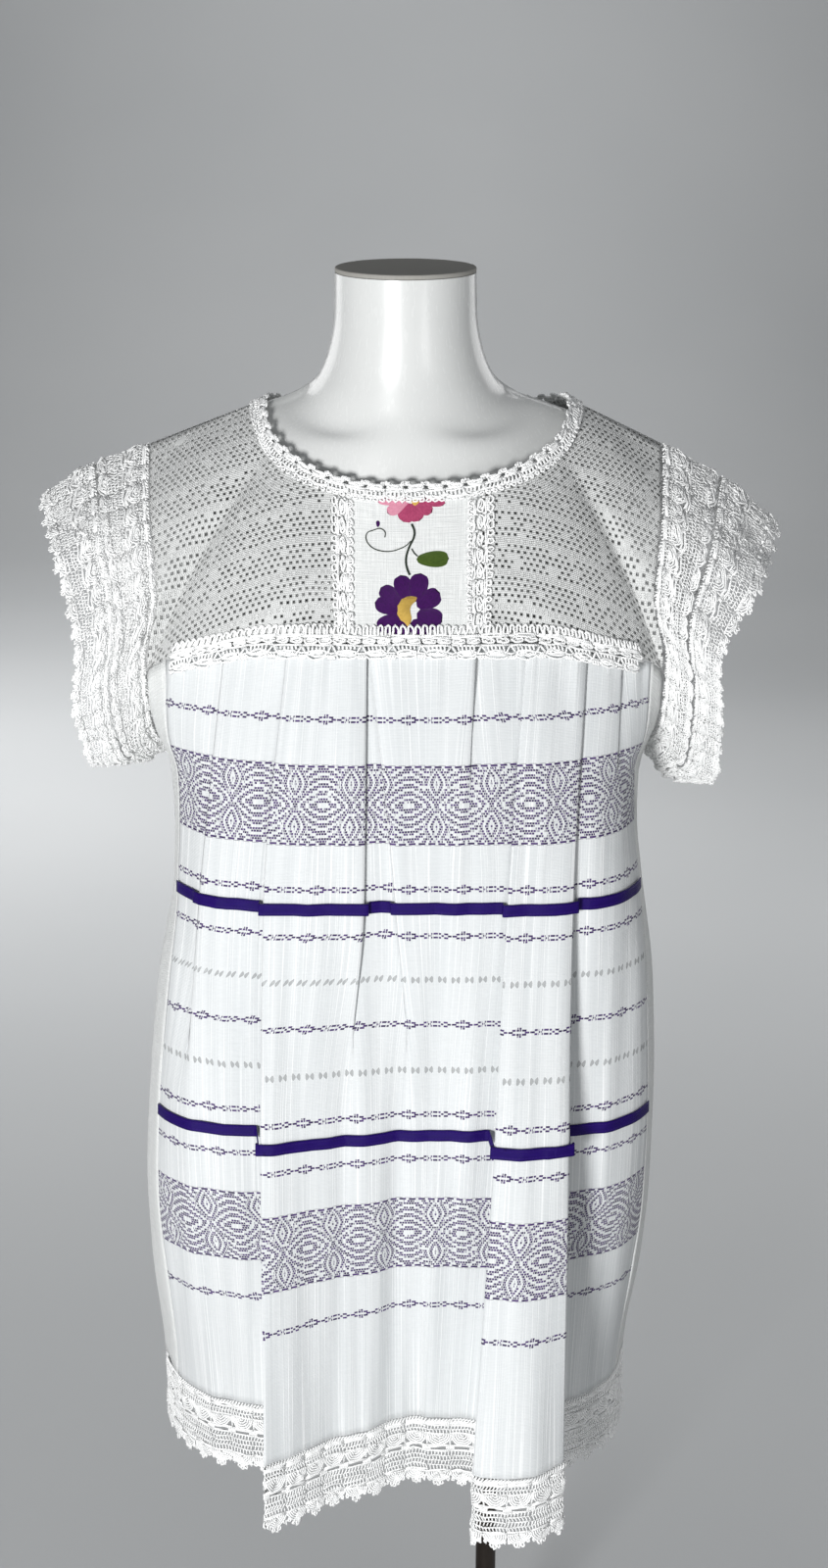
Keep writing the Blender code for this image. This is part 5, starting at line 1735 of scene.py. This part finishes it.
def seam_rows(facing):
    """The seam trim's surface: over the yoke's edge, then down on the gathers."""
    ribs = [rib for rib, share in (fine_ribs(False) if facing < 0 else fine_ribs(True)[::-1])
            if share < SEAM_TRIM_SPAN]
    rows = []
    depth = SEAM_DEPTH / 1000.0
    for share in np.linspace(0.0, 1.0, SEAM_TRIM_ROWS):
        row = []
        for rib in ribs:
            edge = rib(1.0, 0.0)
            length = (edge - rib(0.0, 0.0)).length
            reach = depth * float(share) - SEAM_TRIM_UP
            if reach < 0.0:
                point = rib(1.0 + reach / length, TRIM_OFF)
            else:
                angle = math.degrees(math.atan2(edge.y, edge.x))
                point = body_point(angle, edge.z - reach, TRIM_OFF_PLEATS)
            row.append(point)
        rows.append(row)
    return rows


def side_trim_rows(right):
    """The surface under the trim down one edge of the placket."""
    edge = PLACKET_RIGHT if right else PLACKET_LEFT
    start_x = edge + GAP if right else edge - GAP
    width = PLACKET_RIGHT - PLACKET_LEFT
    half = PLACKET_TRIM_RIGHT if right else PLACKET_TRIM_LEFT
    inner = half / width
    top = neck_point(oval_angle(edge, -1, *NECK_OVAL))
    bottom = placket_point(1.0 if right else 0.0, 1.0)
    length = (top - bottom).length
    begin = (NECK_TRIM_OUT - SIDE_THREAD_TOP) / length
    end = 1.0 - (SEAM_TRIM_UP - SIDE_THREAD_END) / length
    rows = [[], [], [], [], []]
    for share in np.linspace(0.0, 1.0, SIDE_TRIM_STEPS):
        down = mix(begin, end, float(share))
        outer = mix(PLACKET_TRIM_TOP, PLACKET_TRIM_BOTTOM, down) * half
        for k, across in enumerate((inner, inner * 0.5)):
            place = 1.0 - across if right else across
            rows[k].append(placket_point(place, down, TRIM_OFF))
        for k, across in enumerate((0.0, outer * 0.5, outer)):
            rows[k + 2].append(yoke_point(across, down, right, -1, start_x, TRIM_OFF))
    return rows


def build_yoke(looks):
    """The net over chest and back, the placket with its flowers, and the trims."""
    for side, right in LEFT_RIGHT:
        start_x = PLACKET_RIGHT + GAP if right else PLACKET_LEFT - GAP
        grid, flat = yoke_part(right, -1, start_x)
        front = sheet_piece("net_front_" + side, grid, flat, NET_WALL, looks["net"],
                            ["yoke_front_" + side])
        cut, area = cut_of(grid, by_planes=True)
    grid, flat = back_yoke()
    back = sheet_piece("net_back", grid, flat, NET_WALL, looks["net"], ["yoke_back"])
    cut, area = cut_of(grid, by_planes=True)
    places = [float(share) for share in np.linspace(0.0, 1.0, PLACKET_GRID)]
    cloth = array([[placket_point(share, down) for share in places] for down in places])
    placket = sheet_piece("placket_cotton", cloth, flat_of(cloth), GAUZE_WALL, looks["cotton"],
                          ["placket"])
    cut, area = cut_of(cloth, by_planes=True)
    build_embroidery(looks)
    centre = (0.0, 0.0, 1.0)
    thread_piece("neck_thread", Surface(neck_rows(), centre, True), neck_motif(), NECK_WIDE,
                 NECK_DEPTH, LIFT, looks["thread"], ["neck_trim"])
    for side, facing in (("front", -1), ("back", 1)):
        thread_piece("seam_thread_" + side, Surface(seam_rows(facing), centre), seam_motif(),
                     SEAM_WIDE, SEAM_DEPTH, LIFT, looks["thread"], ["yoke_trim_" + side])
    for side, right in LEFT_RIGHT:
        thread_piece("placket_thread_" + side, Surface(side_trim_rows(right), centre),
                     side_trim_motif(), SIDE_TRIM_WIDE, SIDE_TRIM_DEPTH, LIFT, looks["thread"],
                     ["placket_trim_" + side])


# Embroidery on the placket, in millimetres: across from x = 0, down from the neckline

PETALS_PURPLE = (
    # root across, root down, tip across, tip down, width
    (7.5, 83.5, 11.5, 62.5, 17.5),
    (1.0, 83.0, -4.0, 64.0, 16.0),
    (-2.0, 86.0, -18.5, 73.0, 15.0),
    (-3.5, 90.0, -23.0, 84.0, 14.5),
    (-3.0, 94.5, -21.0, 103.5, 16.0),
    (1.5, 96.5, -5.5, 110.0, 16.0),
    (6.0, 96.5, 14.0, 110.0, 16.5),
    (8.5, 92.0, 27.5, 98.5, 19.0),
    (8.5, 87.0, 26.0, 77.0, 17.0),
)
PETALS_PINK = (
    (2.0, 8.0, -21.5, 8.5, 9.0),
    (2.0, 10.0, -13.5, 17.5, 10.5),
    (3.5, 10.5, -1.5, 24.0, 15.0),
    (4.5, 10.5, 10.0, 23.5, 14.0),
    (6.0, 9.5, 19.5, 17.5, 11.0),
    (6.5, 8.0, 29.5, 11.0, 8.0),
)
PINK_LIGHT = 2
EYE_OCHRE = (
    # the crescent of the purple flower, outer edge then inner edge
    (-6.5, 86.0), (-4.0, 82.0), (1.2, 79.2), (9.5, 79.2),
    (8.0, 82.5), (4.5, 86.0), (3.5, 90.0), (4.5, 96.0), (2.5, 103.0),
    (-1.5, 99.0), (-5.0, 95.5), (-6.5, 91.0),
)
STEM = ((4.5, 25.6), (6.6, 31.0), (5.9, 36.2), (2.8, 42.5), (0.7, 48.7), (0.2, 54.0), (1.2, 59.0),
        (3.1, 63.5))
BRANCH = ((4.6, 44.0), (6.4, 47.1), (9.0, 49.6))
TENDRIL = ((3.9, 38.3), (0.2, 41.9), (-6.0, 44.7), (-12.2, 46.1), (-18.4, 45.8), (-24.2, 44.0),
           (-28.3, 40.4), (-29.7, 36.2), (-28.3, 32.6), (-24.2, 30.8), (-19.5, 29.2), (-16.3, 30.5),
           (-15.1, 32.6), (-15.5, 35.7))
LEAF = ((8.2, 52.0), (32.5, 51.8), 14.5)
BUD = ((-20.7, 28.4), (-20.4, 23.6), 3.6)
ROSE_EYE = ((6.5, 5.0), (9.5, 15.5), 8.0)
STITCH_LIFT = 0.0005
PETAL_RISE, EYE_RISE, EYE_LIFT = 0.0009, 0.0012, 0.0004
EYE_LONG, EYE_WIDE, EYE_STEPS = 0.036, 0.009, 6
STEM_THREAD, BRANCH_THREAD, TENDRIL_THREAD = 0.00095, 0.0006, 0.00050

# How blunt a petal is, how wide at its root and how much wider at its tip, how far its
# stitches end unevenly, and how far from its root the dome begins
PETAL_BLUNT, ROOT_WIDTH, TIP_WIDTH = 0.40, 0.62, 0.38
RAGGED, DOME_START = 0.35, 0.12

# Which way is out of the placket
OUT_OF_PLACKET = (0.0, -0.96, 0.28)


def sewn(across, down, out):
    """A point on the placket, in millimetres across from x = 0 and down from the neckline."""
    share = (across / 1000.0 - PLACKET_LEFT) / (PLACKET_RIGHT - PLACKET_LEFT)
    top = placket_point(0.5, 0.0)
    length = (top - placket_point(0.5, 1.0)).length
    return placket_point(share, down / 1000.0 / length, out)


def petal_grid(root, tip, width, steps=14, sides=10):
    """A domed petal of laid stitches from its root to its tip, with a slightly ragged end."""
    rows = []
    flats = []
    run = (tip[0] - root[0], tip[1] - root[1])
    length = math.hypot(*run)
    ahead = (run[0] / length, run[1] / length)
    for i in range(steps + 1):
        t = i / steps
        half = width / 2.0 * max(1.0 - (2.0 * t - 1.0) ** 2, 0.0) ** PETAL_BLUNT
        half *= ROOT_WIDTH + TIP_WIDTH * t
        row = []
        flat = []
        for j in range(sides + 1):
            s = 2.0 * j / sides - 1.0
            ragged = RAGGED * math.sin(9.7 * j + 2.3 * root[0]) * t
            along = t * length + ragged
            x = root[0] + ahead[0] * along - ahead[1] * s * half
            y = root[1] + ahead[1] * along + ahead[0] * s * half
            dome = PETAL_RISE * max(1.0 - s * s, 0.0) ** 0.5
            dome *= math.sin(math.pi * min(t + DOME_START, 1.0))
            row.append(sewn(x, y, STITCH_LIFT + dome))
            flat.append((s * half / 1000.0, along / 1000.0))
        rows.append(row)
        flats.append(flat)
    return rows, flats


def embroidered(name, grids, material):
    """One piece of embroidery from many small grids."""
    parts = []
    for rows, flat in grids:
        points = array(rows)
        faces = grid_faces(*points.shape[:2])
        parts.append((points.reshape(-1, 3), faces, np.array(flat).reshape(-1, 2)[faces]))
    return new_piece(name, joined_mesh(name, parts), material, [])


def smooth_path(points, steps):
    """A curve through points, by Catmull and Rom's formula."""
    ends = [points[0]] + list(points) + [points[-1]]
    path = []
    for k in range(len(points) - 1):
        a, b, c, d = (np.array(ends[k + j]) for j in range(4))
        for step in range(steps):
            t = step / steps
            path.append(0.5 * (2.0 * b + (c - a) * t + (2.0 * a - 5.0 * b + 4.0 * c - d) * t * t
                               + (3.0 * b - a - 3.0 * c + d) * t ** 3))
    path.append(np.array(points[-1]))
    return path


def sewn_line(name, paths, material):
    """Stem stitch: a round thread along each path, thick or thin."""
    parts = []
    for path, radius in paths:
        places = smooth_path(path, 5)
        points = array([[sewn(x, y, STITCH_LIFT + 0.5 * radius) for x, y in places]])
        normals = np.broadcast_to(np.array(OUT_OF_PLACKET), points.shape)
        parts.append(tubes(points, normals, radius, False))
    return new_piece(name, joined_mesh(name, parts), material, [])


def crescent_grid():
    """The ochre eye: stitches from its outer edge to its inner one."""
    outer = smooth_path((EYE_OCHRE[8],) + EYE_OCHRE[9:] + EYE_OCHRE[:3], 4)
    inner = smooth_path(EYE_OCHRE[8:2:-1] + (EYE_OCHRE[2],), 4)
    rows = []
    flats = []
    for i, place in enumerate(outer):
        t = i / (len(outer) - 1)
        other = inner[min(int(t * (len(inner) - 1)), len(inner) - 1)]
        row = []
        flat = []
        for j in range(EYE_STEPS + 1):
            s = j / EYE_STEPS
            x, y = mix(place[0], other[0], s), mix(place[1], other[1], s)
            row.append(sewn(x, y, STITCH_LIFT + EYE_RISE * math.sin(math.pi * s) + EYE_LIFT))
            flat.append((t * EYE_LONG, s * EYE_WIDE))
        rows.append(row)
        flats.append(flat)
    return rows, flats


def build_embroidery(looks):
    """The flowers, which ride on the placket."""
    purple = [petal_grid(row[:2], row[2:4], row[4]) for row in PETALS_PURPLE]
    pink = [petal_grid(row[:2], row[2:4], row[4]) for row in PETALS_PINK]
    leaf = [petal_grid(*LEAF, 18, 12)]
    bud = [petal_grid(*BUD, 8, 6)]
    return [
        embroidered("flower_purple", purple, looks["purple"]),
        embroidered("flower_rose", pink[PINK_LIGHT:], looks["rose"]),
        embroidered("flower_pink", pink[:PINK_LIGHT], looks["pink"]),
        embroidered("flower_eye", [crescent_grid(), petal_grid(*ROSE_EYE)], looks["ochre"]),
        embroidered("flower_leaf", leaf, looks["leaf"]),
        embroidered("flower_bud", bud, looks["purple"]),
        sewn_line("flower_stem", ((STEM, STEM_THREAD), (BRANCH, BRANCH_THREAD)), looks["stem"]),
        sewn_line("flower_tendril", ((TENDRIL, TENDRIL_THREAD),), looks["stem"]),
    ]


# Studio

FLOOR_FRONT, SWEEP_AT, SWEEP_RADIUS, SWEEP_TOP, SWEEP_HALF = -7.0, 7.0, 2.5, 4.5, 7.0

LIGHTS = (
    # name, place, looks at, size, watts, spread in degrees
    ("key", (-1.0, -2.7, 1.05), (0.0, 0.0, 0.75), 0.7, 84.0, 180.0),
    ("fill", (1.5, -2.5, 0.70), (0.0, 0.0, 0.65), 1.2, 12.0, 180.0),
    ("behind_left", (-2.0, 2.2, 1.50), (0.0, 0.0, 0.75), 1.8, 6.0, 110.0),
    ("behind_right", (2.0, 2.2, 1.50), (0.0, 0.0, 0.75), 1.8, 6.0, 110.0),
    ("floor_left", (-1.0, 2.6, 2.40), (-1.0, 2.6, 0.0), 1.4, 27.0, 130.0),
    ("floor_patch", (-0.9, 2.9, 2.00), (-0.9, 2.9, 0.0), 1.0, 6.0, 85.0),
    ("floor_right", (1.1, 2.2, 2.40), (1.1, 2.2, 0.0), 1.4, 19.0, 130.0),
    ("sweep", (0.0, 3.8, 2.60), (0.0, 6.5, 1.2), 1.5, 40.0, 140.0),
)
WORLD_LIGHT = 0.21

CAMERA_PLACE = (0.0063, -2.0, 1.51825)
CAMERA_PITCH = 18.0
PHOTO_TALL, FOCAL_PIXELS, SENSOR = 1600.0, 2665.0, 36.0
AIR = (0.93, 0.96, 1.0, 1.0)
SWEEP_STEPS = 12


def build_studio(looks):
    """A plain pale floor that curves up into a backdrop."""
    profile = [(FLOOR_FRONT, 0.0), (SWEEP_AT - SWEEP_RADIUS, 0.0)]
    for k in range(1, SWEEP_STEPS + 1):
        turn = math.radians(90.0 * k / SWEEP_STEPS)
        profile.append((SWEEP_AT - SWEEP_RADIUS + SWEEP_RADIUS * math.sin(turn),
                        SWEEP_RADIUS - SWEEP_RADIUS * math.cos(turn)))
    profile.append((SWEEP_AT, SWEEP_TOP))
    grid = np.array([[(x, y, z) for x in (-SWEEP_HALF, 0.0, SWEEP_HALF)] for y, z in profile])
    mesh = bpy.data.meshes.new("studio_sweep")
    faces = grid_faces(len(profile), 3)
    mesh.from_pydata(grid.reshape(-1, 3).tolist(), [], faces.tolist())
    mesh.shade_smooth()
    mesh.materials.append(looks["paper"])
    sweep = bpy.data.objects.new("studio_sweep", mesh)
    bpy.context.scene.collection.objects.link(sweep)


def build_lights():
    for name, place, target, size, watts, spread_degrees in LIGHTS:
        data = bpy.data.lights.new(name, "AREA")
        data.shape = "DISK"
        data.size = size
        data.energy = watts
        data.spread = math.radians(spread_degrees)
        light = bpy.data.objects.new(name, data)
        light.location = place
        aim = Vector(target) - Vector(place)
        light.rotation_euler = aim.to_track_quat("-Z", "Y").to_euler()
        light.visible_camera = False
        bpy.context.scene.collection.objects.link(light)
    world = bpy.data.worlds.new("studio_air")
    world.use_nodes = True
    air = world.node_tree.nodes["Background"]
    air.inputs[0].default_value = AIR
    air.inputs[1].default_value = WORLD_LIGHT
    bpy.context.scene.world = world
    bpy.context.scene.view_settings.view_transform = "Standard"


def build_camera():
    data = bpy.data.cameras.new("camera")
    data.sensor_width = SENSOR
    data.lens = FOCAL_PIXELS * SENSOR / PHOTO_TALL
    camera = bpy.data.objects.new("camera", data)
    camera.location = CAMERA_PLACE
    camera.rotation_euler = (math.radians(90.0 - CAMERA_PITCH), 0.0, 0.0)
    bpy.context.scene.collection.objects.link(camera)
    bpy.context.scene.camera = camera


def make_looks():
    return {
        "form": form_gloss(),
        "cap": cap_grey(),
        "steel": stand_steel(),
        "gauze": woven_gauze(),
        "cotton": plain_cotton(),
        "net": crochet_net(),
        "thread": lace_thread(),
        "satin": satin(),
        "purple": satin_stitch("stitch_purple", (0.012, 0.0005, 0.032), (0.082, 0.004, 0.150)),
        "rose": satin_stitch("stitch_rose", (0.24, 0.018, 0.070), (0.60, 0.10, 0.22)),
        "pink": satin_stitch("stitch_pink", (0.58, 0.17, 0.28), (0.86, 0.42, 0.52)),
        "ochre": satin_stitch("stitch_ochre", (0.46, 0.26, 0.035), (0.88, 0.62, 0.16)),
        "leaf": satin_stitch("stitch_leaf", (0.018, 0.046, 0.005), (0.100, 0.160, 0.020)),
        "stem": satin_stitch("stitch_stem", (0.004, 0.010, 0.005), (0.026, 0.046, 0.022)),
        "paper": studio_paper(),
    }


def main():
    looks = make_looks()
    build_camera()
    build_lights()
    build_studio(looks)
    build_stand(looks)
    build_yoke(looks)
    build_body(looks)
    build_sleeves(looks)


main()
